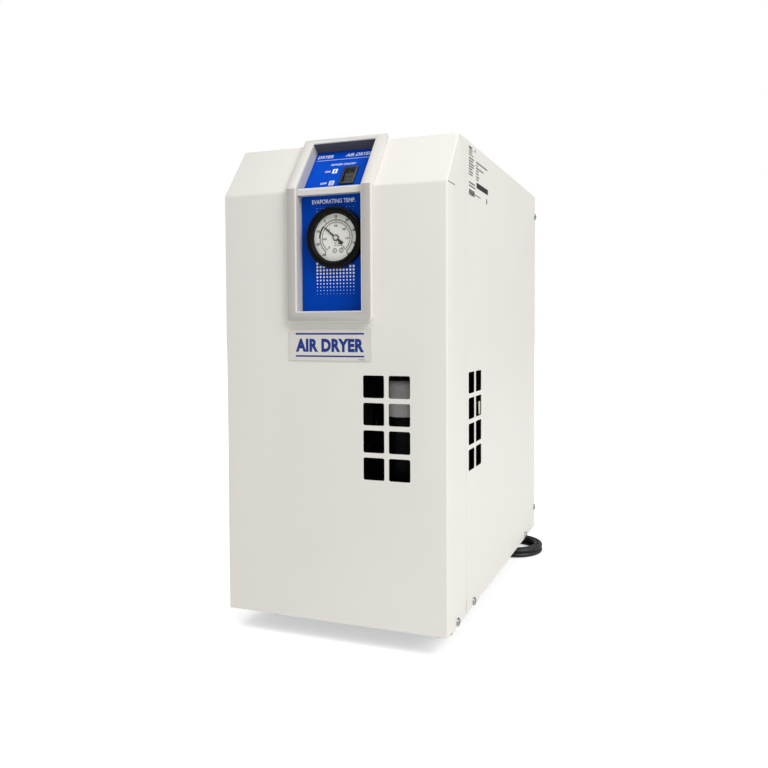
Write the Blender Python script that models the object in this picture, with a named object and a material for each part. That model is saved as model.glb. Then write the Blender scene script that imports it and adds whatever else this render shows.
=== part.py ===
"""Refrigerated compressed-air dryer: sheet-metal cabinet, control panel, cooling circuit and mains lead.

Metres, +Z up, front towards -Y. The origin is on the floor at the middle of the object's box.
"""

import math

import bmesh
import bpy
from mathutils import Matrix, Vector

# Cabinet
WIDTH = 0.270
DEPTH = 0.485
TOP = 0.568
FOOT_HEIGHT = 0.025
SHEET = 0.0012
PAN_SHEET = 0.0015
GAP = 0.0003

# Front hood: an upright face, then a slope back to the top
FOLD = 0.508
SLOPE_RUN = 0.0452
HOOD_DEPTH = 0.072

# What stands out beyond the cabinet
BEZEL_PROUD = 0.006
PORT_REACH = 0.030
CORD = 0.0068

# Square vents, alike on the front and the right side
VENT = 0.0246
VENT_PITCH = 0.030
VENT_ROWS = [0.201, 0.231, 0.261, 0.291]

HALF = WIDTH / 2
CENTRE_Y = (BEZEL_PROUD - PORT_REACH) / 2
FRONT = CENTRE_Y - DEPTH / 2
REAR = CENTRE_Y + DEPTH / 2
SEAM = FRONT + HOOD_DEPTH
REAR_FLANGE = 0.015
INNER = HALF - SHEET - GAP
SLOPE_RISE = TOP - FOLD
SLOPE_LENGTH = math.hypot(SLOPE_RUN, SLOPE_RISE)
UP_SLOPE = Vector((0, SLOPE_RUN, SLOPE_RISE)) / SLOPE_LENGTH
SLOPE_OUT = Vector((0, -SLOPE_RISE, SLOPE_RUN)) / SLOPE_LENGTH

# Bezel that straddles the fold, and the plates sunk in it
BEZEL_HALF = 0.0515
BEZEL_BOTTOM = 0.3611
BEZEL_ALONG = 0.0785
OPENING_HALF = 0.039
OPENING_BOTTOM = 0.3737
CROSSBAR_UNDER = 0.5025
TRAY_HALF = 0.0456
TRAY_BACK = -0.0115
TRAY_FLOOR = -0.0093
PLATE_FACE = -0.008

# Gauge, on the upright face plate
GAUGE_X = 0.0039
GAUGE_Z = 0.455
GAUGE_RADIUS = 0.0344
CASE_RADIUS = 0.0295
DIAL_RADIUS = 0.0268

# Power switch, on the sloped face plate
SWITCH_X = 0.013
SWITCH_ALONG = 0.028
SWITCH_FLANGE = (0.0092, 0.0139)
ROCKER_TILT = math.radians(8)

# Screws: distance from the cabinet's middle, and height
SCREWS_RIGHT = [(-0.206, 0.0295), (-0.1385, 0.0295), (0.167, 0.0295), (0.237, 0.058), (0.237, 0.534)]
SCREWS_LEFT = [(-0.206, 0.0295), (0.237, 0.058), (0.237, 0.534)]

# Inside the cabinet
FAN_X = -0.020
FAN_Z = 0.140
BLADE_PITCH = math.radians(30)
COMPRESSOR_X = -0.035
COMPRESSOR_DEEP = 0.282
DRAIN_X = 0.072
DRAIN_DEEP = 0.0465
PORT_Z = 0.430
PORTS = {"inlet_port": -0.070, "outlet_port": 0.020}
GLAND_X = 0.066
GLAND_Z = 0.095
OUTLET_X = 0.100
OUTLET_Z = 0.070

# Cord coil, wound on the floor round the right rear foot
FOOT_X = 0.106
FOOT_Y = 0.174
COIL_X = 0.114
COIL_Y = CENTRE_Y + 0.180
COIL_TURN = 0.0382


def clear_scene():
    for thing in list(bpy.data.objects):
        bpy.data.objects.remove(thing)


def look(name, colour, roughness, metallic=0.0):
    """A plain material in the piece's own colour."""
    skin = bpy.data.materials.new(name)
    skin.use_nodes = True
    shader = skin.node_tree.nodes["Principled BSDF"]
    shader.inputs["Base Color"].default_value = (*colour, 1)
    shader.inputs["Roughness"].default_value = roughness
    shader.inputs["Metallic"].default_value = metallic
    return skin


def deep(distance):
    """The y of a place this far behind the front face."""
    return FRONT + distance


# Solids, as bmeshes


def box(low, high):
    shape = bmesh.new()
    size = [b - a for a, b in zip(low, high)]
    middle = [(a + b) / 2 for a, b in zip(low, high)]
    bmesh.ops.create_cube(shape, size=1, matrix=Matrix.Translation(middle) @ Matrix.Diagonal((*size, 1)))
    return shape


def prism(outline, axis, low, high):
    """An outline in the plane across an axis, drawn out along it."""
    order = {"X": (2, 0, 1), "Y": (0, 2, 1), "Z": (0, 1, 2)}[axis]
    shape = bmesh.new()
    corners = []
    for point in outline:
        spot = (*point, low)
        corners.append(shape.verts.new([spot[i] for i in order]))
    face = shape.faces.new(corners)
    drawn = bmesh.ops.extrude_face_region(shape, geom=[face])["geom"]
    away = Vector([(0, 0, high - low)[i] for i in order])
    bmesh.ops.translate(shape, vec=away, verts=[v for v in drawn if isinstance(v, bmesh.types.BMVert)])
    return shape


def turned(profile, centre, axis, sides=24, closed=False):
    """A profile of (radius, height) points, spun round an axis through the centre."""
    shape = bmesh.new()
    ring = [shape.verts.new((r, 0, h)) for r, h in profile]
    ends = list(zip(ring, ring[1:]))
    if closed:
        ends.append((ring[-1], ring[0]))
    edges = [shape.edges.new(pair) for pair in ends]
    bmesh.ops.spin(
        shape, geom=ring + edges, cent=(0, 0, 0), axis=(0, 0, 1), angle=math.tau, steps=sides, use_merge=True
    )
    bmesh.ops.remove_doubles(shape, verts=shape.verts, dist=1e-6)
    turn = Vector((0, 0, 1)).rotation_difference(Vector(axis)).to_matrix().to_4x4()
    bmesh.ops.transform(shape, matrix=Matrix.Translation(centre) @ turn, verts=shape.verts)
    return shape


def rod(radius, start, end, sides=24):
    span = Vector(end) - Vector(start)
    return turned([(0, 0), (radius, 0), (radius, span.length), (0, span.length)], start, span, sides)


def rounded_square(across, up, side, radius):
    """Corner points of a square with each corner cut to a two-step curve."""
    half = side / 2 - radius
    points = []
    for corner in range(4):
        turn = math.radians(45 + 90 * corner)
        cx = across + half * math.copysign(1, math.cos(turn))
        cy = up + half * math.copysign(1, math.sin(turn))
        for step in (-45, 0, 45):
            angle = turn + math.radians(step)
            points.append((cx + radius * math.cos(angle), cy + radius * math.sin(angle)))
    return points


def put_together(shapes):
    """Several separate solids in one bmesh, for one cutter."""
    whole = bmesh.new()
    for shape in shapes:
        lump = bpy.data.meshes.new("lump")
        shape.to_mesh(lump)
        shape.free()
        whole.from_mesh(lump)
        bpy.data.meshes.remove(lump)
    return whole


# Objects


def piece(name, shape, skin=None, smooth=False, origin=None):
    bmesh.ops.recalc_face_normals(shape, faces=shape.faces)
    if origin:
        bmesh.ops.translate(shape, vec=-Vector(origin), verts=shape.verts)
    mesh = bpy.data.meshes.new(name)
    shape.to_mesh(mesh)
    shape.free()
    if smooth:
        mesh.shade_smooth()
        mesh.set_sharp_from_angle(angle=math.radians(40))
    thing = bpy.data.objects.new(name, mesh)
    bpy.context.collection.objects.link(thing)
    if origin:
        thing.location = origin
    if skin:
        mesh.materials.append(skin)
    return thing


def combine(thing, shape, operation):
    """Joins a shape to an object, or cuts it away, with a Boolean that stays live."""
    tool = piece(f"{thing.name}_tool_{len(thing.modifiers)}", shape)
    tool.hide_render = True
    tool.display_type = "WIRE"
    step = thing.modifiers.new(tool.name, "BOOLEAN")
    step.operation = operation
    step.solver = "EXACT"
    step.object = tool


def cut(thing, shape):
    combine(thing, shape, "DIFFERENCE")


def join(thing, shape):
    combine(thing, shape, "UNION")


def bevelled(thing, width, segments=2):
    step = thing.modifiers.new("Bevel", "BEVEL")
    step.width = width
    step.segments = segments
    step.limit_method = "ANGLE"
    step.angle_limit = math.radians(50)


def spread(route, spacing):
    """Points evenly spaced on a smooth curve through the route's own points."""
    knots = [Vector(p) for p in route]
    knots = [2 * knots[0] - knots[1]] + knots + [2 * knots[-1] - knots[-2]]
    fine = []
    for a, b, c, d in zip(knots, knots[1:], knots[2:], knots[3:]):
        for step in range(24):
            t = step / 24
            bend = (2 * a - 5 * b + 4 * c - d) * t * t + (3 * b - a - 3 * c + d) * t ** 3
            fine.append((2 * b + (c - a) * t + bend) / 2)
    fine.append(knots[-2])
    reach = [0.0]
    for a, b in zip(fine, fine[1:]):
        reach.append(reach[-1] + (b - a).length)
    count = max(2, round(reach[-1] / spacing))
    points = []
    at = 0
    for step in range(count + 1):
        goal = reach[-1] * step / count
        while at < len(fine) - 2 and reach[at + 1] < goal:
            at += 1
        share = (goal - reach[at]) / (reach[at + 1] - reach[at])
        points.append(fine[at].lerp(fine[at + 1], share))
    return points


def pipe(name, points, diameter, skin, resolution=2):
    """A round tube with closed ends along a line of points."""
    curve = bpy.data.curves.new(name, "CURVE")
    curve.dimensions = "3D"
    curve.bevel_depth = diameter / 2
    curve.bevel_resolution = resolution
    curve.render_resolution_u = 0
    curve.use_fill_caps = True
    curve.materials.append(skin)
    line = curve.splines.new("POLY")
    line.points.add(len(points) - 1)
    for knot, point in zip(line.points, points):
        knot.co = (*point, 1)
    thing = bpy.data.objects.new(name, curve)
    bpy.context.collection.objects.link(thing)
    return thing


# The front's two planes, as (y, z)


def on_front(height, out):
    return FRONT - out, height


def on_slope(along, out):
    spot = UP_SLOPE * along + SLOPE_OUT * out
    return FRONT + spot.y, FOLD + spot.z


def at_fold(out):
    return on_slope(-out * (1 + SLOPE_OUT.y) / UP_SLOPE.y, out)


def at_crest(out):
    return on_slope((SLOPE_RISE + out * (1 - SLOPE_OUT.z)) / UP_SLOPE.z, out)


def band(bottom, along, back, face):
    """A band that follows the upright face and the slope, between two distances out from them."""
    outer = [on_front(bottom, face), at_fold(face), on_slope(along, face)]
    inner = [on_slope(along, back), at_fold(back), on_front(bottom, back)]
    return outer + inner


def slope_patch(low, high, back, face):
    return [on_slope(low, back), on_slope(high, back), on_slope(high, face), on_slope(low, face)]


def slope_spot(x, along, out):
    y, z = on_slope(along, out)
    return Vector((x, y, z))


# Cabinet


def screw_holes(places, side):
    holes = []
    for y, z in places:
        start = (side * (INNER - 0.006), CENTRE_Y + y, z)
        holes.append(rod(0.0024, start, (side * (HALF + 0.003), CENTRE_Y + y, z), 10))
    return holes


def all_screw_holes():
    return put_together(screw_holes(SCREWS_RIGHT, 1) + screw_holes(SCREWS_LEFT, -1))


def screws(skin):
    profile = [(0, -0.0055), (0.0019, -0.0055), (0.0019, GAP), (0.0048, GAP)]
    profile += [(0.0046, 0.0016), (0.0028, 0.0025), (0, 0.0026)]
    for side, places, word in ((1, SCREWS_RIGHT, "right"), (-1, SCREWS_LEFT, "left")):
        for number, (y, z) in enumerate(places, 1):
            shape = turned(profile, (side * HALF, CENTRE_Y + y, z), (side, 0, 0), 12)
            piece(f"screw_{word}_{number}", shape, skin, smooth=True)


def base_pan(skin):
    low = (-INNER, deep(SHEET + GAP), FOOT_HEIGHT)
    high = (INNER, REAR - REAR_FLANGE - GAP, FOOT_HEIGHT + 0.018)
    pan = piece("base_pan", box(low, high), skin)
    hollow_low = (low[0] + PAN_SHEET, low[1] + PAN_SHEET, low[2] + PAN_SHEET)
    hollow_high = (high[0] - PAN_SHEET, high[1] - PAN_SHEET, high[2] + 0.01)
    cut(pan, box(hollow_low, hollow_high))
    cut(pan, all_screw_holes())


def feet(skin):
    profile = [(0, 0), (0.013, 0), (0.0115, FOOT_HEIGHT - GAP), (0, FOOT_HEIGHT - GAP)]
    for word, x, y in (
        ("front_left", -FOOT_X, -FOOT_Y),
        ("front_right", FOOT_X, -FOOT_Y),
        ("rear_left", -FOOT_X, FOOT_Y),
        ("rear_right", FOOT_X, FOOT_Y),
    ):
        shape = turned(profile, (x, CENTRE_Y + y, 0), (0, 0, 1), 16)
        piece(f"foot_{word}", shape, skin, smooth=True)


def hood_outline(inset, behind, below):
    sides = [on_front(FOOT_HEIGHT - below, -inset), at_fold(-inset), at_crest(-inset)]
    return sides + [(SEAM + behind, TOP - inset), (SEAM + behind, FOOT_HEIGHT - below)]


def front_panel(skin):
    panel = piece("front_panel", prism(hood_outline(0, 0, 0), "X", -HALF, HALF), skin)
    cut(panel, prism(hood_outline(SHEET, 0.01, 0.01), "X", SHEET - HALF, HALF - SHEET))
    window = band(BEZEL_BOTTOM + 0.0034, 0.0735, -0.015, 0.02)
    cut(panel, prism(window, "X", -0.046, 0.046))
    vents = []
    for x in (0.051, 0.051 + VENT_PITCH):
        for z in VENT_ROWS:
            vents.append(prism(rounded_square(x, z, VENT, 0.002), "Y", FRONT - 0.005, FRONT + 0.005))
    cut(panel, put_together(vents))
    reliefs = []
    for side in (-1, 1):
        near = min(side * (HALF - 0.004), side * (HALF + 0.004))
        far = near + 0.008
        reliefs.append(box((near, FRONT + 0.003, FOLD - 0.0004), (far, FRONT + 0.029, FOLD + 0.0004)))
        reliefs.append(box((near, SEAM - 0.0016, FOOT_HEIGHT - 0.001), (far, SEAM + 0.001, FOOT_HEIGHT + 0.017)))
    cut(panel, put_together(reliefs))
    cut(panel, all_screw_holes())


def cover_panel(skin):
    low = FOOT_HEIGHT
    inner = HALF - SHEET
    outline = [(-HALF, low), (-HALF, TOP), (HALF, TOP), (HALF, low)]
    outline += [(inner, low), (inner, TOP - SHEET), (-inner, TOP - SHEET), (-inner, low)]
    cover = piece("cover_panel", prism(outline, "Y", SEAM + 0.0006, REAR), skin)
    vents = []
    for y in (-0.1475, -0.1158):
        for z in VENT_ROWS:
            shape = rounded_square(CENTRE_Y + y, z, VENT, 0.002)
            vents.append(prism(shape, "X", HALF - 0.005, HALF + 0.005))
    cut(cover, put_together(vents))
    cut(cover, all_screw_holes())


def rear_panel(skin):
    low = (-INNER, REAR - REAR_FLANGE, FOOT_HEIGHT)
    high = (INNER, REAR, TOP - SHEET - GAP)
    panel = piece("rear_panel", box(low, high), skin)
    hollow_low = (low[0] + SHEET, low[1] - 0.01, low[2] + SHEET)
    hollow_high = (high[0] - SHEET, high[1] - SHEET, high[2] - SHEET)
    cut(panel, box(hollow_low, hollow_high))
    holes = []
    for across in (-1.5, -0.5, 0.5, 1.5):
        for up in (-1.5, -0.5, 0.5, 1.5):
            shape = rounded_square(FAN_X + across * VENT_PITCH, FAN_Z + up * VENT_PITCH, VENT, 0.002)
            holes.append(prism(shape, "Y", REAR - 0.005, REAR + 0.005))
    cut(panel, put_together(holes))
    bores = [(x, PORT_Z, 0.0175) for x in PORTS.values()]
    bores += [(GLAND_X, GLAND_Z, 0.0085), (OUTLET_X, OUTLET_Z, 0.0068)]
    rods = [rod(r, (x, REAR - 0.005, z), (x, REAR + 0.005, z), 24) for x, z, r in bores]
    cut(panel, put_together(rods))
    cut(panel, all_screw_holes())


# Control panel


def bezel_lip():
    """The frame that stands proud of the hood, with its outer edges sloped and its lower corners round."""
    lip = prism(band(BEZEL_BOTTOM, BEZEL_ALONG, GAP, BEZEL_PROUD), "X", -BEZEL_HALF, BEZEL_HALF)
    corners = []
    for edge in lip.edges:
        span = edge.verts[0].co - edge.verts[1].co
        low = max(v.co.z for v in edge.verts) < BEZEL_BOTTOM + 1e-5
        if low and abs(span.y) > 1e-5 and abs(span.x) < 1e-6:
            corners.append(edge)
    bmesh.ops.bevel(lip, geom=corners, offset=0.0058, segments=3, profile=0.5, affect="EDGES", clamp_overlap=True)
    rim = []
    for edge in lip.edges:
        heights = []
        for vert in edge.verts:
            upright = FRONT - vert.co.y
            sloped = (vert.co - Vector((0, FRONT, FOLD))).dot(SLOPE_OUT)
            heights.append(max(upright, sloped))
        span = abs(edge.verts[0].co.x - edge.verts[1].co.x)
        crosses_fold = span > 0.09 and edge.verts[0].co.z > FOLD
        on_top = edge.verts[0].co.z > TOP
        if min(heights) > BEZEL_PROUD - 1e-5 and (on_top or not crosses_fold):
            rim.append(edge)
    bmesh.ops.bevel(lip, geom=rim, offset=0.0018, segments=1, profile=0.5, affect="EDGES", clamp_overlap=True)
    return lip


def panel_bezel(skin):
    bezel = piece("panel_bezel", bezel_lip(), skin)
    tray = band(BEZEL_BOTTOM + 0.0038, 0.0731, TRAY_BACK, 0.001)
    join(bezel, prism(tray, "X", -TRAY_HALF, TRAY_HALF))
    lower = box((-OPENING_HALF, FRONT - 0.02, OPENING_BOTTOM), (OPENING_HALF, FRONT - TRAY_FLOOR, CROSSBAR_UNDER))
    cut(bezel, lower)
    cut(bezel, prism(slope_patch(0.002, 0.0715, TRAY_FLOOR, 0.02), "X", -OPENING_HALF, OPENING_HALF))
    crossbar = [on_front(0.49, 0.0002), at_fold(0.0002), on_slope(0.01, 0.0002)]
    crossbar += [on_slope(0.01, 0.02), at_fold(0.02), on_front(0.49, 0.02)]
    cut(bezel, prism(crossbar, "X", -OPENING_HALF + 0.00001, OPENING_HALF - 0.00001))
    gauge = (GAUGE_X, FRONT - 0.02, GAUGE_Z)
    cut(bezel, rod(CASE_RADIUS + 0.0007, gauge, (GAUGE_X, FRONT + 0.03, GAUGE_Z), 32))
    cut(bezel, switch_hole())


def switch_hole():
    hole = slope_patch(SWITCH_ALONG - 0.0124, SWITCH_ALONG + 0.0124, -0.03, 0.03)
    return prism(hole, "X", SWITCH_X - 0.0082, SWITCH_X + 0.0082)


def face_plates(skin):
    edge = OPENING_HALF - GAP
    back = FRONT - TRAY_FLOOR - GAP
    low, high = (-edge, FRONT - PLATE_FACE, OPENING_BOTTOM + GAP), (edge, back, CROSSBAR_UNDER - GAP)
    lower = piece("lower_face_plate", box(low, high), skin)
    rim = (GAUGE_X, FRONT - 0.02, GAUGE_Z)
    cut(lower, rod(CASE_RADIUS + 0.0007, rim, (GAUGE_X, FRONT + 0.03, GAUGE_Z), 32))
    patch = slope_patch(0.0023, 0.0712, TRAY_FLOOR + GAP, PLATE_FACE)
    upper = piece("upper_face_plate", prism(patch, "X", -edge, edge), skin)
    cut(upper, switch_hole())


def name_plate(skin):
    piece("name_plate", box((-0.0515, FRONT - 0.0009, 0.3188), (0.0489, FRONT - GAP, 0.3537)), skin)


def gauge_case(skin):
    profile = [(0, -0.038), (CASE_RADIUS, -0.038), (CASE_RADIUS, PLATE_FACE + GAP)]
    profile += [(GAUGE_RADIUS, PLATE_FACE + GAP), (GAUGE_RADIUS, -0.0022), (0.0331, -0.0004), (0.0308, 0)]
    profile += [(0.0285, -0.0002), (0.0262, -0.0016), (0.0262, -0.0019), (0.0271, -0.0019)]
    profile += [(0.0271, -0.0085), (0, -0.0085)]
    piece("gauge_case", turned(profile, (GAUGE_X, FRONT, GAUGE_Z), (0, -1, 0), 32), skin, smooth=True)


def gauge_dial(skin):
    profile = [(0.0012, -0.0082), (DIAL_RADIUS, -0.0082), (DIAL_RADIUS, -0.0076), (0.0012, -0.0076)]
    shape = turned(profile, (GAUGE_X, FRONT, GAUGE_Z), (0, -1, 0), 32, closed=True)
    piece("gauge_dial", shape, skin)


def gauge_pointer(skin):
    """A hub with a spindle, a long needle and a short wide tail."""
    centre = (GAUGE_X, FRONT, GAUGE_Z)
    profile = [(0, -0.0082), (0.0007, -0.0082), (0.0007, -0.0072), (0.0024, -0.0072), (0.0024, -0.0060)]
    profile.append((0, -0.0060))
    pointer = piece("gauge_pointer", turned(profile, centre, (0, -1, 0), 16), skin, origin=centre)
    needle = [(-0.0009, 0), (0.0009, 0), (0.0003, 0.0195), (-0.0003, 0.0195)]
    tail = [(-0.0011, 0), (-0.0015, -0.0095), (0.0015, -0.0095), (0.0011, 0)]
    lean = Matrix.Rotation(math.radians(50), 2)
    for outline in (needle, tail):
        spots = [lean @ Vector(p) for p in outline]
        world = [(GAUGE_X + p.x, GAUGE_Z + p.y) for p in spots]
        join(pointer, prism(world, "Y", FRONT + 0.0064, FRONT + 0.0070))


def gauge_lens(skin):
    profile = [(0, -0.0031), (DIAL_RADIUS, -0.0031), (DIAL_RADIUS, -0.0022), (0, -0.0022)]
    piece("gauge_lens", turned(profile, (GAUGE_X, FRONT, GAUGE_Z), (0, -1, 0), 32), skin)


def power_switch(skin):
    wide, long = SWITCH_FLANGE
    flange = slope_patch(SWITCH_ALONG - long, SWITCH_ALONG + long, PLATE_FACE + GAP, -0.0062)
    housing = piece("switch_housing", prism(flange, "X", SWITCH_X - wide, SWITCH_X + wide), skin)
    body = slope_patch(SWITCH_ALONG - 0.012, SWITCH_ALONG + 0.012, -0.026, -0.007)
    join(housing, prism(body, "X", SWITCH_X - 0.0078, SWITCH_X + 0.0078))
    well = slope_patch(SWITCH_ALONG - 0.0113, SWITCH_ALONG + 0.0113, -0.0142, 0)
    cut(housing, prism(well, "X", SWITCH_X - 0.0064, SWITCH_X + 0.0064))
    pivot = slope_spot(SWITCH_X, SWITCH_ALONG, -0.0086)
    turn = Matrix.Rotation(ROCKER_TILT, 3, "X")
    outline = []
    for along, out in [(-0.0103, -0.003), (0.0103, -0.003), (0.0103, 0.0022), (0, 0.0004), (-0.0103, 0.0022)]:
        spot = pivot + turn @ (UP_SLOPE * along + SLOPE_OUT * out)
        outline.append((spot.y, spot.z))
    piece("switch_rocker", prism(outline, "X", SWITCH_X - 0.006, SWITCH_X + 0.006), skin, origin=pivot)


# Refrigeration


def compressor(shell_skin, cover_skin, rubber):
    x, y = COMPRESSOR_X, deep(COMPRESSOR_DEEP)
    profile = [(0, 0.052), (0.050, 0.052), (0.062, 0.066), (0.062, 0.172)]
    profile += [(0.055, 0.192), (0.040, 0.202), (0, 0.205)]
    shell = piece("compressor_shell", turned(profile, (x, y, 0), (0, 0, 1), 28), shell_skin, smooth=True)
    join(shell, box((x - 0.062, y - 0.060, 0.0490), (x + 0.062, y + 0.060, 0.0525)))
    mounts = [(-0.050, -0.048), (0.050, -0.048), (0, 0.048)]
    pads = [(0, 0), (0.011, 0), (0.011, 0.014), (0.008, 0.0215), (0, 0.0215)]
    for number, (dx, dy) in enumerate(mounts, 1):
        foot = (x + dx, y + dy, FOOT_HEIGHT + PAN_SHEET + GAP)
        piece(f"compressor_grommet_{number}", turned(pads, foot, (0, 0, 1), 12), rubber, smooth=True)
    cover = box((x - 0.022, y - 0.079, 0.135), (x + 0.022, y - 0.0625, 0.176))
    bevelled(piece("compressor_terminal_cover", cover, cover_skin), 0.003)


def condenser(skin):
    low = (FAN_X - 0.088, deep(0.372), 0.046)
    piece("condenser_coil", box(low, (FAN_X + 0.088, deep(0.404), 0.236)), skin)


def fan(shroud_skin, blade_skin, motor_skin):
    y = deep(0.410)
    wall = box((FAN_X - 0.084, y, FAN_Z - 0.090), (FAN_X + 0.084, y + 0.002, FAN_Z + 0.090))
    shroud = piece("fan_shroud", wall, shroud_skin)
    axis = (0, 1, 0)
    cut(shroud, rod(0.0695, (FAN_X, y - 0.01, FAN_Z), (FAN_X, y + 0.01, FAN_Z), 32))
    ring = [(0.069, 0.0005), (0.073, 0.0005), (0.073, 0.029), (0.069, 0.029)]
    join(shroud, turned(ring, (FAN_X, y, FAN_Z), axis, 32, closed=True))
    hub_place = (FAN_X, deep(0.421), FAN_Z)
    hub = [(0, 0), (0.017, 0), (0.018, 0.002), (0.018, 0.016), (0.0034, 0.016), (0.0034, 0.004), (0, 0.004)]
    blades = piece("fan_blades", turned(hub, hub_place, axis, 20), blade_skin, origin=hub_place)
    for number in range(5):
        blade = box((0.0155, -0.0009, -0.020), (0.0645, 0.0009, 0.020))
        bmesh.ops.rotate(blade, cent=(0, 0, 0), matrix=Matrix.Rotation(BLADE_PITCH, 3, "X"), verts=blade.verts)
        turn = Matrix.Rotation(math.tau * number / 5, 4, "Y")
        middle = Matrix.Translation((FAN_X, deep(0.428), FAN_Z))
        bmesh.ops.transform(blade, matrix=middle @ turn, verts=blade.verts)
        join(blades, blade)
    body = [(0, 0.016), (0.003, 0.016), (0.003, 0.0315), (0.006, 0.0315), (0.006, 0.036), (0.026, 0.036)]
    body += [(0.026, 0.064), (0.022, 0.067), (0, 0.067)]
    motor = piece("fan_motor", turned(body, (FAN_X, y, FAN_Z), axis, 24), motor_skin, smooth=True)
    arm = box((FAN_X - 0.0725, y + 0.0295, FAN_Z - 0.008), (FAN_X + 0.0725, y + 0.0315, FAN_Z + 0.008))
    join(motor, arm)
    join(motor, rod(0.012, (FAN_X, y + 0.031, FAN_Z), (FAN_X, y + 0.040, FAN_Z), 20))


def heat_exchanger(skin, stand_skin):
    low = (-0.110, deep(0.150), 0.290)
    bevelled(piece("heat_exchanger", box(low, (0.060, deep(0.350), 0.500)), skin), 0.010)
    foot = FOOT_HEIGHT + PAN_SHEET + GAP
    outer = [(-0.112, foot), (-0.112, 0.2895), (0.062, 0.2895), (0.062, foot)]
    inner = [(0.0605, foot), (0.0605, 0.288), (-0.1105, 0.288), (-0.1105, foot)]
    piece("exchanger_stand", prism(outer + inner, "Y", deep(0.165), deep(0.335)), stand_skin)


def air_ports(skin):
    back = deep(0.350) + GAP
    reach = REAR + PORT_REACH - back
    for name, x in PORTS.items():
        profile = [(0, 0), (0.011, 0), (0.011, 0.100), (0.0165, 0.100), (0.0165, reach - 0.001)]
        profile += [(0.0155, reach), (0.0100, reach), (0.0093, reach - 0.018), (0, reach - 0.018)]
        piece(name, turned(profile, (x, back, PORT_Z), (0, 1, 0), 24), skin, smooth=True)


def auto_drain(metal, dark, white):
    x, y = DRAIN_X, deep(DRAIN_DEEP)
    head = [(0, 0.258), (0.022, 0.258), (0.022, 0.290), (0.018, 0.296), (0, 0.296)]
    piece("drain_head", turned(head, (x, y, 0), (0, 0, 1), 24), metal, smooth=True)
    bowl = [(0, 0.170), (0.015, 0.170), (0.020, 0.176), (0.020, 0.258 - GAP), (0.0175, 0.258 - GAP)]
    bowl += [(0.0175, 0.178), (0, 0.174)]
    piece("drain_bowl", turned(bowl, (x, y, 0), (0, 0, 1), 24), dark, smooth=True)
    float_profile = [(0, 0.1805), (0.010, 0.1805), (0.011, 0.184), (0.011, 0.212), (0.009, 0.216), (0, 0.216)]
    shape = turned(float_profile, (x, y, 0), (0, 0, 1), 16)
    piece("drain_float", shape, white, smooth=True, origin=(x, y, 0.1805))
    cock = [(0, 0.155), (0.0085, 0.155), (0.0095, 0.157), (0.0095, 0.166), (0.006, 0.1697), (0, 0.1697)]
    knob = piece("drain_cock", turned(cock, (x, y, 0), (0, 0, 1), 16), dark, smooth=True, origin=(x, y, 0.155))
    join(knob, box((x - 0.013, y - 0.002, 0.158), (x + 0.013, y + 0.002, 0.165)))


def drain_outlet(skin):
    start = REAR - 0.014
    profile = [(0, 0), (0.0065, 0), (0.0065, 0.022), (0.0042, 0.023), (0.0048, 0.026), (0.0036, 0.034), (0, 0.034)]
    piece("drain_outlet", turned(profile, (OUTLET_X, start, OUTLET_Z), (0, 1, 0), 16), skin, smooth=True)


def electrics(box_skin, can_skin):
    low = (-HALF + SHEET + GAP, deep(0.076), 0.330)
    high = (-0.070, deep(0.146), 0.460)
    housing = piece("electrical_box", box(low, high), box_skin)
    cut(housing, box((low[0] + 0.0015, low[1] + 0.0015, 0.3315), (high[0] + 0.01, high[1] - 0.0015, 0.4585)))
    can = [(0, 0.332), (0.016, 0.332), (0.016, 0.395), (0.013, 0.398), (0, 0.398)]
    spot = (-0.103, deep(0.100), 0)
    piece("run_capacitor", turned(can, spot, (0, 0, 1), 20), can_skin, smooth=True)


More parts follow.
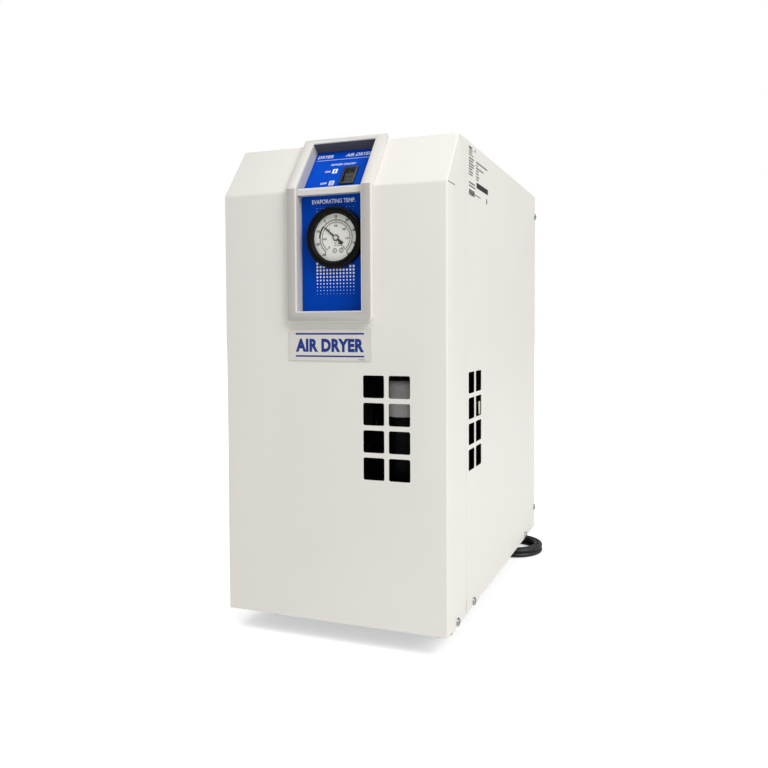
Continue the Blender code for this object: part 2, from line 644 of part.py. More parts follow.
def copper_circuit(copper, brass, dark):
    drier = [(0, 0.100), (0.0035, 0.100), (0.0115, 0.110), (0.0115, 0.190), (0.0035, 0.200), (0, 0.200)]
    piece("filter_drier", turned(drier, (0.090, deep(0.300), 0), (0, 0, 1), 16), copper, smooth=True)
    valve = [(0, 0), (0.009, 0), (0.012, 0.003), (0.012, 0.022), (0.007, 0.024), (0.007, 0.040), (0, 0.040)]
    place = (-0.080, deep(0.1495) - 0.040, 0.312)
    piece("hot_gas_valve", turned(valve, place, (0, 1, 0), 16), brass, smooth=True)

    def run(name, places, diameter, skin):
        route = [(x, deep(d), z) for x, d, z in places]
        pipe(name, spread(route, 2.5 * diameter), diameter, skin)

    run(
        "discharge_pipe",
        [(-0.010, 0.290, 0.2065), (-0.010, 0.291, 0.232), (-0.010, 0.312, 0.252), (-0.010, 0.343, 0.238),
         (-0.010, 0.357, 0.224), (-0.010, 0.3709, 0.2236)],
        0.008, copper,
    )
    run(
        "bypass_pipe",
        [(-0.055, 0.262, 0.2065), (-0.055, 0.260, 0.232), (-0.062, 0.235, 0.255), (-0.075, 0.180, 0.258),
         (-0.080, 0.135, 0.262), (-0.080, 0.122, 0.275), (-0.080, 0.1205, 0.2995)],
        0.006, copper,
    )
    run(
        "liquid_pipe",
        [(0.060, 0.3715, 0.070), (0.0605, 0.358, 0.070), (0.068, 0.342, 0.067), (0.082, 0.325, 0.062),
         (0.090, 0.305, 0.072), (0.090, 0.300, 0.0995)],
        0.006, copper,
    )
    run(
        "capillary_tube",
        [(0.090, 0.300, 0.2005), (0.091, 0.299, 0.245), (0.089, 0.294, 0.300), (0.078, 0.289, 0.328),
         (0.0604, 0.287, 0.332)],
        0.003, copper,
    )
    run(
        "suction_pipe",
        [(-0.030, 0.1482, 0.320), (-0.030, 0.130, 0.317), (-0.030, 0.116, 0.280), (-0.031, 0.118, 0.180),
         (-0.033, 0.142, 0.128), (-0.034, 0.180, 0.116), (-0.035, 0.2194, 0.115)],
        0.010, copper,
    )
    run(
        "drain_feed_pipe",
        [(0.040, 0.1488, 0.330), (0.042, 0.130, 0.331), (0.062, 0.085, 0.338), (0.0715, 0.051, 0.324),
         (DRAIN_X, DRAIN_DEEP, 0.2972)],
        0.010, dark,
    )


def drain_tube(skin):
    places = [(DRAIN_X, DRAIN_DEEP, 0.1545), (0.073, 0.048, 0.120), (0.088, 0.074, 0.072), (0.110, 0.130, 0.056)]
    places += [(0.116, 0.250, 0.052), (0.114, 0.380, 0.056), (0.103, 0.450, 0.068), (OUTLET_X, 0.4702, OUTLET_Z)]
    diameter = 0.006
    pipe("drain_tube", spread([(x, deep(d), z) for x, d, z in places], 3 * diameter), diameter, skin)


# Mains lead


def cable_gland(skin):
    start = REAR - 0.012
    profile = [(0, 0), (0.012, 0), (0.012, 0.0105), (0.0081, 0.0105), (0.0081, 0.0125), (0.0115, 0.0125)]
    profile += [(0.0115, 0.018), (0.0075, 0.021), (0.0048, 0.040), (0.0034, 0.040), (0, 0.038)]
    shape = turned(profile, (GLAND_X, start, GLAND_Z), (0, 1, 0), 20)
    piece("cable_gland", shape, skin, smooth=True)


def laid(route):
    """The route's smooth points, none of them lower than a cord on the floor lies."""
    points = spread(route, 2 * CORD)
    return [Vector((p.x, p.y, max(p.z, CORD / 2 + GAP / 2))) for p in points]


def cord_route():
    """From the gland out, down to the floor in a half loop, and forward under the cabinet to the coil."""
    lie = CORD / 2
    tip = REAR + 0.0283
    return [
        (GLAND_X, tip, GLAND_Z),
        (GLAND_X, tip + 0.018, GLAND_Z - 0.001),
        (GLAND_X + 0.001, tip + 0.047, GLAND_Z - 0.018),
        (GLAND_X + 0.002, tip + 0.058, 0.050),
        (GLAND_X + 0.004, tip + 0.045, 0.017),
        (GLAND_X + 0.006, tip + 0.014, lie + 0.0006),
        (COIL_X - 0.0421, REAR - 0.006, lie),
        (COIL_X - 0.0418, COIL_Y + 0.0275, lie),
    ]


def tail_route():
    """From the back of the coil, behind the cabinet, to the plug."""
    lie = CORD / 2
    return [
        (COIL_X - 0.0172, COIL_Y + 0.0478, lie),
        (COIL_X - 0.029, COIL_Y + 0.065, lie),
        (COIL_X - 0.028, COIL_Y + 0.100, lie),
        (COIL_X - 0.044, COIL_Y + 0.147, lie),
        (COIL_X - 0.090, COIL_Y + 0.172, lie),
        (COIL_X - 0.140, COIL_Y + 0.160, lie),
        (COIL_X - 0.182, COIL_Y + 0.141, 0.0068),
        (COIL_X - 0.204, COIL_Y + 0.139, 0.0082),
    ]


def mains_lead(skin, metal):
    pipe("power_cord", laid(cord_route()), CORD, skin)
    pipe("power_cord_tail", laid(tail_route()), CORD, skin)
    inner = COIL_TURN - CORD
    outer = COIL_TURN + CORD
    ring = [(inner, 0.0005), (outer, 0.0005), (outer, 2 * CORD), (inner, 2 * CORD)]
    shape = turned(ring, (COIL_X, COIL_Y, 0), (0, 0, 1), 32, closed=True)
    piece("power_cord_coil", shape, skin, smooth=True)
    x, y, z = COIL_X - 0.2047, COIL_Y + 0.139, 0.0082
    grip = [(0, 0), (0.0042, 0), (0.0052, 0.014), (0.0080, 0.018), (0.0080, 0.040), (0, 0.040)]
    plug = piece("power_plug", turned(grip, (x, y, z), (-1, 0, 0), 20), skin, smooth=True)
    for side in (-1, 1):
        middle, thick = y + side * 0.0052, 0.00075
        blade = box((x - 0.056, middle - thick, z - 0.003), (x - 0.038, middle + thick, z + 0.003))
        join(plug, blade)


def build():
    clear_scene()
    painted = look("cabinet_paint", (0.78, 0.76, 0.72), 0.45)
    zinc = look("zinc_plate", (0.62, 0.63, 0.64), 0.35, 1.0)
    frame_grey = look("bezel_plastic", (0.45, 0.44, 0.42), 0.5)
    blue = look("face_blue", (0.01, 0.08, 0.45), 0.35)
    silver = look("label_silver", (0.70, 0.70, 0.68), 0.35)
    black = look("black_plastic", (0.012, 0.012, 0.013), 0.35)
    white = look("dial_white", (0.85, 0.84, 0.80), 0.5)
    clear = look("lens_clear", (0.9, 0.9, 0.9), 0.05)
    rubber = look("rubber", (0.02, 0.02, 0.02), 0.8)
    dark_steel = look("compressor_paint", (0.02, 0.02, 0.022), 0.4)
    fins = look("aluminium_fins", (0.70, 0.71, 0.72), 0.4, 1.0)
    foam = look("black_foam", (0.03, 0.03, 0.03), 0.9)
    copper = look("copper", (0.78, 0.36, 0.22), 0.3, 1.0)
    brass = look("brass", (0.75, 0.58, 0.28), 0.3, 1.0)

    base_pan(zinc)
    feet(rubber)
    front_panel(painted)
    cover_panel(painted)
    rear_panel(painted)
    screws(zinc)
    panel_bezel(frame_grey)
    face_plates(blue)
    name_plate(silver)
    gauge_case(black)
    gauge_dial(white)
    gauge_pointer(black)
    gauge_lens(clear)
    power_switch(black)
    compressor(dark_steel, black, rubber)
    condenser(fins)
    fan(zinc, black, dark_steel)
    heat_exchanger(foam, zinc)
    air_ports(brass)
    auto_drain(fins, black, white)
    drain_outlet(black)
    drain_tube(white)
    electrics(zinc, fins)
    copper_circuit(copper, brass, foam)
    cable_gland(black)
    mains_lead(black, zinc)


build()
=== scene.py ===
"""Refrigerated air dryer: a painted cabinet with its control panel, cooling circuit and mains lead."""

import math

import bmesh
import bpy
from mathutils import Matrix, Vector


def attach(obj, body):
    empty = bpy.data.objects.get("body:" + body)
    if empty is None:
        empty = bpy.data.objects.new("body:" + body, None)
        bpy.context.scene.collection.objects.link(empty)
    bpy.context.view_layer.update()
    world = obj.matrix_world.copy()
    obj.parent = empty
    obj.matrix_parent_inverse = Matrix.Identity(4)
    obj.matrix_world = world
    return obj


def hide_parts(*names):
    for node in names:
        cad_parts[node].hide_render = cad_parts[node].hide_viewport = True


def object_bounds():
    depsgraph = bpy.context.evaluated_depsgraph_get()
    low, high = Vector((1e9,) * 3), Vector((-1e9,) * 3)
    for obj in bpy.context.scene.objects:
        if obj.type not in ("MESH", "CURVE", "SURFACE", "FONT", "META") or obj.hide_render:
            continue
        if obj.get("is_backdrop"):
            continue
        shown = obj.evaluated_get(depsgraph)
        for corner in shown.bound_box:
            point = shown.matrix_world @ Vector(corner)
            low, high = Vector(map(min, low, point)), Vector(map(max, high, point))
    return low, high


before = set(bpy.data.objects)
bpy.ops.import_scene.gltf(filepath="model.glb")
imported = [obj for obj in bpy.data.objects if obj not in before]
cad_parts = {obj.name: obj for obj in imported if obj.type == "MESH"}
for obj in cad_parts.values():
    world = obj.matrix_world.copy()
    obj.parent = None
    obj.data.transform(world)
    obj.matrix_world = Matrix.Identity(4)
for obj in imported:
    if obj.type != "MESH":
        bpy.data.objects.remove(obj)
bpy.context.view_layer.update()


# ---------------------------------------------------------------- Camera
# It stands a metre off, a little to the right of the front and just above the middle of the cabinet.

CABINET_MIDDLE_Y = -0.012

camera_place = Vector((0.3699, CABINET_MIDDLE_Y - 1.0002, 0.3558))
turn_right, tilt_down, lean = math.radians(20.13), math.radians(2.195), math.radians(-0.21)
aside = Vector((math.sin(turn_right), -math.cos(turn_right), 0))
backward = aside * math.cos(tilt_down) + Vector((0, 0, math.sin(tilt_down)))
level = Vector((math.cos(turn_right), math.sin(turn_right), 0))
upright = backward.cross(level)
across = level * math.cos(lean) + upright * math.sin(lean)
upward = backward.cross(across)
camera_data = bpy.data.cameras.new("camera")
camera_data.lens = 35.51
camera_data.shift_x = -0.0325
camera_data.shift_y = -0.0364
camera_data.clip_start = 0.05
camera_data.clip_end = 60
camera = bpy.data.objects.new("camera", camera_data)
camera_axes = Matrix((across, upward, backward)).transposed().to_4x4()
camera.matrix_world = Matrix.Translation(camera_place) @ camera_axes
bpy.context.collection.objects.link(camera)
bpy.context.scene.camera = camera


# ---------------------------------------------------------------- Mains lead
# Black rubber-sheathed lead, 1.45 metres of it outside. It leaves the gland, drops to the floor and is
# wound into a flat coil of two turns on two beside the right rear foot, held by a tie. Its last stretch
# lies behind the cabinet.

LEAD_THICKNESS = 0.0068
WINDING_PITCH = 0.00695
WINDING_TURNS = 3.75
WINDING_RADIUS = 0.0382
WINDING_CENTRE = Vector((0.114, CABINET_MIDDLE_Y + 0.180, 0))
REAR_Y = 0.2305
GLAND = Vector((0.066, REAR_Y + 0.028, 0.095))
LEAD_SPACING = 0.013


def through(route, steps=24):
    """Points evenly spaced on a smooth curve through the route's own points."""
    knots = [Vector(p) for p in route]
    knots = [2 * knots[0] - knots[1]] + knots + [2 * knots[-1] - knots[-2]]
    fine = []
    for a, b, c, d in zip(knots, knots[1:], knots[2:], knots[3:]):
        for step in range(steps):
            t = step / steps
            bend = (2 * a - 5 * b + 4 * c - d) * t * t + (3 * b - a - 3 * c + d) * t**3
            fine.append((2 * b + (c - a) * t + bend) / 2)
    fine.append(knots[-2])
    reach = [0.0]
    for a, b in zip(fine, fine[1:]):
        reach.append(reach[-1] + (b - a).length)
    count = max(2, round(reach[-1] / LEAD_SPACING))
    points, at = [], 0
    for step in range(count + 1):
        goal = reach[-1] * step / count
        while at < len(fine) - 2 and reach[at + 1] < goal:
            at += 1
        share = (goal - reach[at]) / (reach[at + 1] - reach[at])
        points.append(fine[at].lerp(fine[at + 1], share))
    return points


def winding(lie, points_a_turn=18, change_from=0.8):
    """The coil: outer low, inner low, inner high, outer high, changing place at the end of each turn."""
    points = []
    for step in range(1, round(WINDING_TURNS * points_a_turn)):
        turn = step / points_a_turn
        whole, part = divmod(turn, 1)
        change = max(0.0, (part - change_from) / (1 - change_from))
        change = change * change * (3 - 2 * change)
        place = math.radians(-45 - 90 * (whole + change))
        corner = WINDING_PITCH / math.sqrt(2)
        crossing = math.cos(math.radians(45 - 90 * change)) - math.cos(math.radians(45))
        lift = WINDING_PITCH / 2 + corner * crossing
        radius = WINDING_RADIUS + corner * math.cos(place)
        height = lie + lift + corner * math.sin(place)
        angle = math.pi + math.tau * turn
        points.append(WINDING_CENTRE + Vector((radius * math.cos(angle), radius * math.sin(angle), height)))
    return points


lie = LEAD_THICKNESS / 2 + 0.0004
x, y, _ = WINDING_CENTRE
lead_down = [
    GLAND,
    GLAND + Vector((0, 0.018, -0.001)),
    GLAND + Vector((0.001, 0.047, -0.018)),
    (GLAND.x + 0.002, GLAND.y + 0.058, 0.050),
    (GLAND.x + 0.004, GLAND.y + 0.045, 0.017),
    (GLAND.x + 0.006, GLAND.y + 0.014, lie + 0.0006),
    (x - 0.0421, REAR_Y - 0.006, lie),
    (x - 0.0418, y + 0.0275, lie),
]
lead_away = [
    (x - 0.0172, y + 0.0473, 0.0092),
    (x - 0.0290, y + 0.065, 0.0058),
    (x - 0.028, y + 0.100, lie),
    (x - 0.044, y + 0.147, lie),
    (x - 0.090, y + 0.172, lie),
    (x - 0.140, y + 0.160, lie),
    (x - 0.182, y + 0.141, 0.0068),
    (x - 0.204, y + 0.139, 0.0082),
]
onto_coil = Vector((x - 0.0417, y + 0.0135, lie))
lead_line = through(lead_down) + [onto_coil] + winding(lie) + through(lead_away)
lead_line = [Vector((p.x, p.y, max(p.z, lie))) for p in lead_line]
lead_curve = bpy.data.curves.new("mains_lead", "CURVE")
lead_curve.dimensions = "3D"
lead_curve.bevel_depth = 1
lead_curve.bevel_resolution = 5
lead_curve.resolution_u = 4
lead_curve.use_fill_caps = True
lead_spline = lead_curve.splines.new("BEZIER")
lead_spline.bezier_points.add(len(lead_line) - 1)
for knot, point in zip(lead_spline.bezier_points, lead_line):
    knot.co = point
    knot.radius = LEAD_THICKNESS / 2
    knot.handle_left_type = knot.handle_right_type = "AUTO"
mains_lead = bpy.data.objects.new("mains_lead", lead_curve)
bpy.context.collection.objects.link(mains_lead)
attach(mains_lead, "cabinet")
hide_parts("power_cord", "power_cord_coil", "power_cord_tail")


# ---------------------------------------------------------------- Floor and light
# A seamless white floor under a dim white dome. A large soft light stands high on the right, a weaker one
# hangs overhead and a third lights the back.

DOME_LIGHT = 0.31
PURE_WHITE = (1, 1, 1, 1)
floor_shape = bmesh.new()
bmesh.ops.create_grid(floor_shape, x_segments=2, y_segments=2, size=14)
floor_mesh = bpy.data.meshes.new("studio_floor")
floor_shape.to_mesh(floor_mesh)
floor_shape.free()
studio_floor = bpy.data.objects.new("studio_floor", floor_mesh)
bpy.context.collection.objects.link(studio_floor)
studio_floor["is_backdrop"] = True


def fill(node, sockets):
    """Sets the sockets of a node."""
    for socket, value in dict(sockets).items():
        node.inputs[socket].default_value = value


def new_node(nodes, kind, sockets=(), **settings):
    """A shader node with some of its sockets and settings set."""
    node = nodes.new("ShaderNode" + kind)
    for setting, value in settings.items():
        setattr(node, setting, value)
    fill(node, sockets)
    return node


def join(links, *pairs):
    """Links each output to its input."""
    for output, socket in pairs:
        links.new(output, socket)


floor_skin = bpy.data.materials.new("white_floor")
floor_skin.use_nodes = True
nodes, links = floor_skin.node_tree.nodes, floor_skin.node_tree.links
shader = nodes["Principled BSDF"]
fill(shader, {"Base Color": (0.84, 0.84, 0.83, 1), "Roughness": 0.9, "Specular IOR Level": 0.1})
fill(shader, {"Emission Color": PURE_WHITE})
place = new_node(nodes, "TexCoord")
distance = new_node(nodes, "VectorMath", operation="LENGTH")
fade = new_node(nodes, "MapRange", {"From Min": 0.3, "From Max": 2.2, "To Min": 0.50, "To Max": 1.0})
seen = new_node(nodes, "LightPath")
glow = new_node(nodes, "Math", operation="MULTIPLY")
join(
    links,
    (place.outputs["Object"], distance.inputs[0]),
    (distance.outputs["Value"], fade.inputs["Value"]),
    (fade.outputs["Result"], glow.inputs[0]),
    (seen.outputs["Is Camera Ray"], glow.inputs[1]),
    (glow.outputs["Value"], shader.inputs["Emission Strength"]),
)
floor_mesh.materials.append(floor_skin)

world = bpy.data.worlds.new("white_dome")
world.use_nodes = True
nodes, links = world.node_tree.nodes, world.node_tree.links
dome = nodes["Background"]
fill(dome, {"Color": PURE_WHITE, "Strength": DOME_LIGHT})
backdrop = new_node(nodes, "Background", {"Color": PURE_WHITE, "Strength": 1.0})
seen = new_node(nodes, "LightPath")
pick = new_node(nodes, "MixShader")
join(
    links,
    (seen.outputs["Is Camera Ray"], pick.inputs["Fac"]),
    (dome.outputs["Background"], pick.inputs[1]),
    (backdrop.outputs["Background"], pick.inputs[2]),
    (pick.outputs["Shader"], nodes["World Output"].inputs["Surface"]),
)
bpy.context.scene.world = world
bpy.context.scene.view_settings.view_transform = "Standard"


def softbox(name, bearing, height, reach, size, power):
    """A square light that faces the cabinet, from a bearing right of the front and a height, in degrees."""
    lamp = bpy.data.lights.new(name, "AREA")
    lamp.size = size
    lamp.energy = power
    holder = bpy.data.objects.new(name, lamp)
    turn, rise = math.radians(bearing), math.radians(height)
    away = Vector((math.sin(turn) * math.cos(rise), -math.cos(turn) * math.cos(rise), math.sin(rise)))
    holder.location = Vector((0, CABINET_MIDDLE_Y, 0.3)) + away * reach
    holder.rotation_mode = "QUATERNION"
    holder.rotation_quaternion = away.to_track_quat("Z", "Y")
    bpy.context.collection.objects.link(holder)


softbox("softbox_right", 62, 38, 9.0, 5.2, 568)
softbox("softbox_overhead", -20, 70, 3.6, 2.2, 32)
softbox("softbox_behind", 205, 35, 2.6, 1.5, 16)


# ---------------------------------------------------------------- Base pan and feet
# The pan is folded from plain zinc-plated steel sheet, and the cabinet's panels hang on it. The four feet
# are moulded black rubber, each with a recess underneath; the steel washer in it is not made.

FOOT_HEIGHT = 0.025
FOOT_PLACES = {
    "foot_front_left": (-0.106, -0.174),
    "foot_front_right": (0.106, -0.174),
    "foot_rear_left": (-0.106, 0.174),
    "foot_rear_right": (0.106, 0.174),
}


def light(colour):
    """A colour given as a screen shows it, from 0 to 255, as light."""
    return tuple((v / 255 / 12.92) if v <= 10 else ((v / 255 + 0.055) / 1.055) ** 2.4 for v in colour)


def surface_group():
    """Cloudy shade, fine grain and settled dust, for any finish. It puts out colour, roughness and height."""
    group = bpy.data.node_groups.new("surface_finish", "ShaderNodeTree")
    numbers = ["Cloud depth", "Cloud scale", "Grain scale", "Roughness", "Roughness spread", "Dust"]
    for way, names in (("INPUT", ["Colour"] + numbers), ("OUTPUT", ["Colour", "Roughness", "Height"])):
        for name in names:
            kind = "NodeSocketColor" if name == "Colour" else "NodeSocketFloat"
            group.interface.new_socket(name=name, in_out=way, socket_type=kind)
    nodes = group.nodes
    given = nodes.new("NodeGroupInput").outputs
    result = nodes.new("NodeGroupOutput").inputs
    place = new_node(nodes, "TexCoord").outputs["Object"]
    cloud = new_node(nodes, "TexNoise", {"Detail": 4})
    grain = new_node(nodes, "TexNoise", {"Detail": 2})
    centred = new_node(nodes, "Math", {1: 0.5}, operation="SUBTRACT")
    shade = new_node(nodes, "Math", {2: 1.0}, operation="MULTIPLY_ADD")
    clouded = new_node(nodes, "VectorMath", operation="SCALE")
    facing = new_node(nodes, "NewGeometry")
    parts = new_node(nodes, "SeparateXYZ")
    upward = new_node(nodes, "MapRange", {"From Min": 0.4, "From Max": 1.0})
    settled = new_node(nodes, "Math", operation="MULTIPLY")
    amount = new_node(nodes, "Math", operation="MULTIPLY")
    dusted = new_node(nodes, "Mix", data_type="RGBA")
    dusted.inputs[7].default_value = (0.40, 0.38, 0.34, 1)
    spread = new_node(nodes, "Math", operation="MULTIPLY_ADD")
    matt = new_node(nodes, "Math", {1: 0.5}, operation="MULTIPLY_ADD")
    join(
        group.links,
        (place, cloud.inputs["Vector"]),
        (given["Cloud scale"], cloud.inputs["Scale"]),
        (place, grain.inputs["Vector"]),
        (given["Grain scale"], grain.inputs["Scale"]),
        (grain.outputs["Fac"], result["Height"]),
        (cloud.outputs["Fac"], centred.inputs[0]),
        (centred.outputs["Value"], shade.inputs[0]),
        (given["Cloud depth"], shade.inputs[1]),
        (given["Colour"], clouded.inputs[0]),
        (shade.outputs["Value"], clouded.inputs["Scale"]),
        (facing.outputs["Normal"], parts.inputs["Vector"]),
        (parts.outputs["Z"], upward.inputs["Value"]),
        (upward.outputs["Result"], settled.inputs[0]),
        (cloud.outputs["Fac"], settled.inputs[1]),
        (settled.outputs["Value"], amount.inputs[0]),
        (given["Dust"], amount.inputs[1]),
        (amount.outputs["Value"], dusted.inputs[0]),
        (clouded.outputs["Vector"], dusted.inputs[6]),
        (dusted.outputs[2], result["Colour"]),
        (centred.outputs["Value"], spread.inputs[0]),
        (given["Roughness spread"], spread.inputs[1]),
        (given["Roughness"], spread.inputs[2]),
        (amount.outputs["Value"], matt.inputs[0]),
        (spread.outputs["Value"], matt.inputs[2]),
        (matt.outputs["Value"], result["Roughness"]),
    )
    return group


surface_finish = surface_group()


def finish(
    name, colour, roughness, clouds=0.04, cloud=0.05, grain=0.001, bump=0.15, depth=0.0002, spread=0.1,
    dust=0.0, **fixed,
):
    """A finish in one screen colour, with clouds and grain of a size in metres, and fixed shader values."""
    skin = bpy.data.materials.new(name)
    skin.use_nodes = True
    nodes, links = skin.node_tree.nodes, skin.node_tree.links
    shader = nodes["Principled BSDF"]
    surface = new_node(nodes, "Group", node_tree=surface_finish)
    fill(surface, {"Colour": (*light(colour), 1), "Cloud depth": clouds, "Cloud scale": 1 / cloud})
    fill(surface, {"Grain scale": 1 / grain, "Dust": dust})
    fill(surface, {"Roughness": roughness, "Roughness spread": spread})
    relief = new_node(nodes, "Bump", {"Strength": bump, "Distance": depth})
    relief.name = "relief"
    join(
        links,
        (surface.outputs["Height"], relief.inputs["Height"]),
        (surface.outputs["Colour"], shader.inputs["Base Color"]),
        (surface.outputs["Roughness"], shader.inputs["Roughness"]),
        (relief.outputs["Normal"], shader.inputs["Normal"]),
    )
    fill(shader, {socket.replace("_", " "): value for socket, value in fixed.items()})
    return skin


def turned(profile, centre, axis, steps=48, closed=False):
    """A profile of (radius, height) points, spun round an axis through the centre."""
    shape = bmesh.new()
    ring = [shape.verts.new((r, 0, h)) for r, h in profile]
    ends = list(zip(ring, ring[1:]))
    if closed:
        ends.append((ring[-1], ring[0]))
    edges = [shape.edges.new(pair) for pair in ends]
    bmesh.ops.spin(
        shape, geom=ring + edges, cent=(0, 0, 0), axis=(0, 0, 1), angle=math.tau, steps=steps, use_merge=True
    )
    bmesh.ops.remove_doubles(shape, verts=shape.verts, dist=1e-7)
    bmesh.ops.recalc_face_normals(shape, faces=shape.faces)
    turn = Vector((0, 0, 1)).rotation_difference(Vector(axis)).to_matrix().to_4x4()
    bmesh.ops.transform(shape, matrix=Matrix.Translation(centre) @ turn, verts=shape.verts)
    return shape


def together(shapes):
    """Several shapes in one."""
    whole = bmesh.new()
    for shape in shapes:
        lump = bpy.data.meshes.new("lump")
        shape.to_mesh(lump)
        shape.free()
        whole.from_mesh(lump)
        bpy.data.meshes.remove(lump)
    return whole


def fit(name, shape, skins, stands_for=(), body="cabinet", smooth=40):
    """Makes a finished piece of a shape and puts it on a body of the machine."""
    mesh = bpy.data.meshes.new(name)
    shape.to_mesh(mesh)
    shape.free()
    for skin in skins if isinstance(skins, (list, tuple)) else [skins]:
        mesh.materials.append(skin)
    mesh.shade_smooth()
    mesh.set_sharp_from_angle(angle=math.radians(smooth))
    thing = bpy.data.objects.new(name, mesh)
    bpy.context.collection.objects.link(thing)
    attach(thing, body)
    if stands_for:
        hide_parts(*stands_for)
    return thing


def reskin(node, skin):
    """Gives a piece that stays as the workshop made it its real finish."""
    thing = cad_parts[node]
    thing.data.materials.clear()
    thing.data.materials.append(skin)


zinc_sheet = finish(
    "zinc_plated_sheet", (176, 180, 184), 0.34, clouds=0.35, cloud=0.012, grain=0.0007, bump=0.1,
    spread=0.3, dust=0.15, Metallic=1.0,
)
foot_rubber = finish(
    "foot_rubber", (34, 34, 35), 0.72, clouds=0.3, cloud=0.008, grain=0.0006, bump=0.3, dust=0.25
)
reskin("base_pan", zinc_sheet)
foot_top = FOOT_HEIGHT - 0.0006
for name, (x, y) in FOOT_PLACES.items():
    profile = [(0, 0.006), (0.0045, 0.006), (0.0045, 0.0012), (0.0052, 0), (0.0118, 0), (0.0130, 0.0014)]
    profile += [(0.0128, 0.004), (0.0120, 0.0052), (0.0124, 0.0065), (0.0119, 0.0200), (0.0112, foot_top)]
    profile += [(0, foot_top)]
    foot = turned(profile, (x, CABINET_MIDDLE_Y + y, 0), (0, 0, 1), 40)
    fit(name + "_moulded", foot, foot_rubber, [name])


# ---------------------------------------------------------------- Front hood
# One sheet of mild steel, 1.2 mm thick, folded into the upright front, the slope, the top and both side
# flanges, and powder-coated cream. Eight square vents are punched beside the front's middle. A slit at each
# end of the fold and a flange seam under the slope's ends are left from the folding. Its inner faces and the
# cut faces of its vents and holes are coloured dark grey as painted shade.

HALF_WIDTH = 0.135
TOP_Z = 0.568
BOTTOM_Z = 0.025
FRONT_Y = -0.2545
SEAM_Y = -0.1825
FOLD_Z = 0.508
SLOPE_RUN, SLOPE_RISE = 0.0452, 0.060
UP_SLOPE = Vector((0, SLOPE_RUN, SLOPE_RISE)).normalized()
OUT_OF_SLOPE = Vector((0, -SLOPE_RISE, SLOPE_RUN)).normalized()
SHEET = 0.0012
BEND = 0.0019
VENT_SIDE, VENT_PITCH, VENT_CORNER = 0.0246, 0.030, 0.002
CUT_REACH = 0.005
SLIT = 0.0008
FLANGE_SEAM = 0.00044
EASED_SHEET = 0.0002
VENT_HEIGHTS = [0.201, 0.231, 0.261, 0.291]
SCREW_PLACES = [(-0.206, 0.0295), (-0.1385, 0.0295), (0.167, 0.0295), (0.237, 0.058), (0.237, 0.534)]


def on_front(height, out):
    return FRONT_Y - out, height


def on_slope(along, out):
    spot = UP_SLOPE * along + OUT_OF_SLOPE * out
    return FRONT_Y + spot.y, FOLD_Z + spot.z


def at_fold(out):
    return on_slope(-out * (1 + OUT_OF_SLOPE.y) / UP_SLOPE.y, out)


def at_crest(out):
    return on_slope((SLOPE_RISE + out * (1 - OUT_OF_SLOPE.z)) / UP_SLOPE.z, out)


def drawn_out(outline, axis, low, high):
    """An outline in the plane across an axis, drawn out along it."""
    order = {"X": (2, 0, 1), "Y": (0, 2, 1), "Z": (0, 1, 2)}[axis]
    shape = bmesh.new()
    corners = []
    for point in outline:
        spot = (*point, low)
        corners.append(shape.verts.new([spot[i] for i in order]))
    face = shape.faces.new(corners)
    drawn = bmesh.ops.extrude_face_region(shape, geom=[face])["geom"]
    away = Vector([(0, 0, high - low)[i] for i in order])
    bmesh.ops.translate(shape, vec=away, verts=[v for v in drawn if isinstance(v, bmesh.types.BMVert)])
    bmesh.ops.recalc_face_normals(shape, faces=shape.faces)
    return shape


def block(low, high):
    shape = bmesh.new()
    size = [b - a for a, b in zip(low, high)]
    middle = [(a + b) / 2 for a, b in zip(low, high)]
    bmesh.ops.create_cube(shape, size=1, matrix=Matrix.Translation(middle) @ Matrix.Diagonal((*size, 1)))
    return shape


def rounded(shape, radius, steps=3, where=lambda edge: True):
    """Rounds the edges that a test picks."""
    edges = [e for e in shape.edges if where(e)]
    bmesh.ops.bevel(
        shape, geom=edges, offset=radius, segments=steps, profile=0.5, affect="EDGES", material=-1,
        clamp_overlap=True,
    )
    return shape


def rod(radius, start, end, steps=24):
    span = Vector(end) - Vector(start)
    return turned([(0, 0), (radius, 0), (radius, span.length), (0, span.length)], start, span, steps)


def round_square(across, up, side, radius, steps=4):
    """Corner points of a square with round corners."""
    half = side / 2 - radius
    points = []
    for corner in range(4):
        middle = math.radians(45 + 90 * corner)
        cx = across + half * math.copysign(1, math.cos(middle))
        cy = up + half * math.copysign(1, math.sin(middle))
        for step in range(steps + 1):
            angle = middle + math.radians(90 * step / steps - 45)
            points.append((cx + radius * math.cos(angle), cy + radius * math.sin(angle)))
    return points


def vent(across, up, axis, wall):
    """A cutter for one square vent, through a wall that lies across an axis."""
    square = round_square(across, up, VENT_SIDE, VENT_CORNER)
    return drawn_out(square, axis, wall - CUT_REACH, wall + CUT_REACH)


def carve(thing, cutter, skin=None, operation="DIFFERENCE"):
    """Cuts a shape out of a piece, or welds it on. The cut faces take the skin, if one is given."""
    mesh = bpy.data.meshes.new("cutter")
    bmesh.ops.recalc_face_normals(cutter, faces=cutter.faces)
    cutter.to_mesh(mesh)
    cutter.free()
    if skin:
        mesh.materials.append(skin)
    tool = bpy.data.objects.new("cutter", mesh)
    bpy.context.collection.objects.link(tool)
    step = thing.modifiers.new("cut", "BOOLEAN")
    step.operation = operation
    step.solver = "EXACT"
    step.material_mode = "TRANSFER" if skin else "INDEX"
    step.object = tool
    whole = bpy.data.meshes.new_from_object(thing.evaluated_get(bpy.context.evaluated_depsgraph_get()))
    thing.modifiers.clear()
    old = thing.data
    thing.data = whole
    whole.name = old.name
    bpy.data.meshes.remove(old)
    bpy.data.objects.remove(tool)
    bpy.data.meshes.remove(mesh)


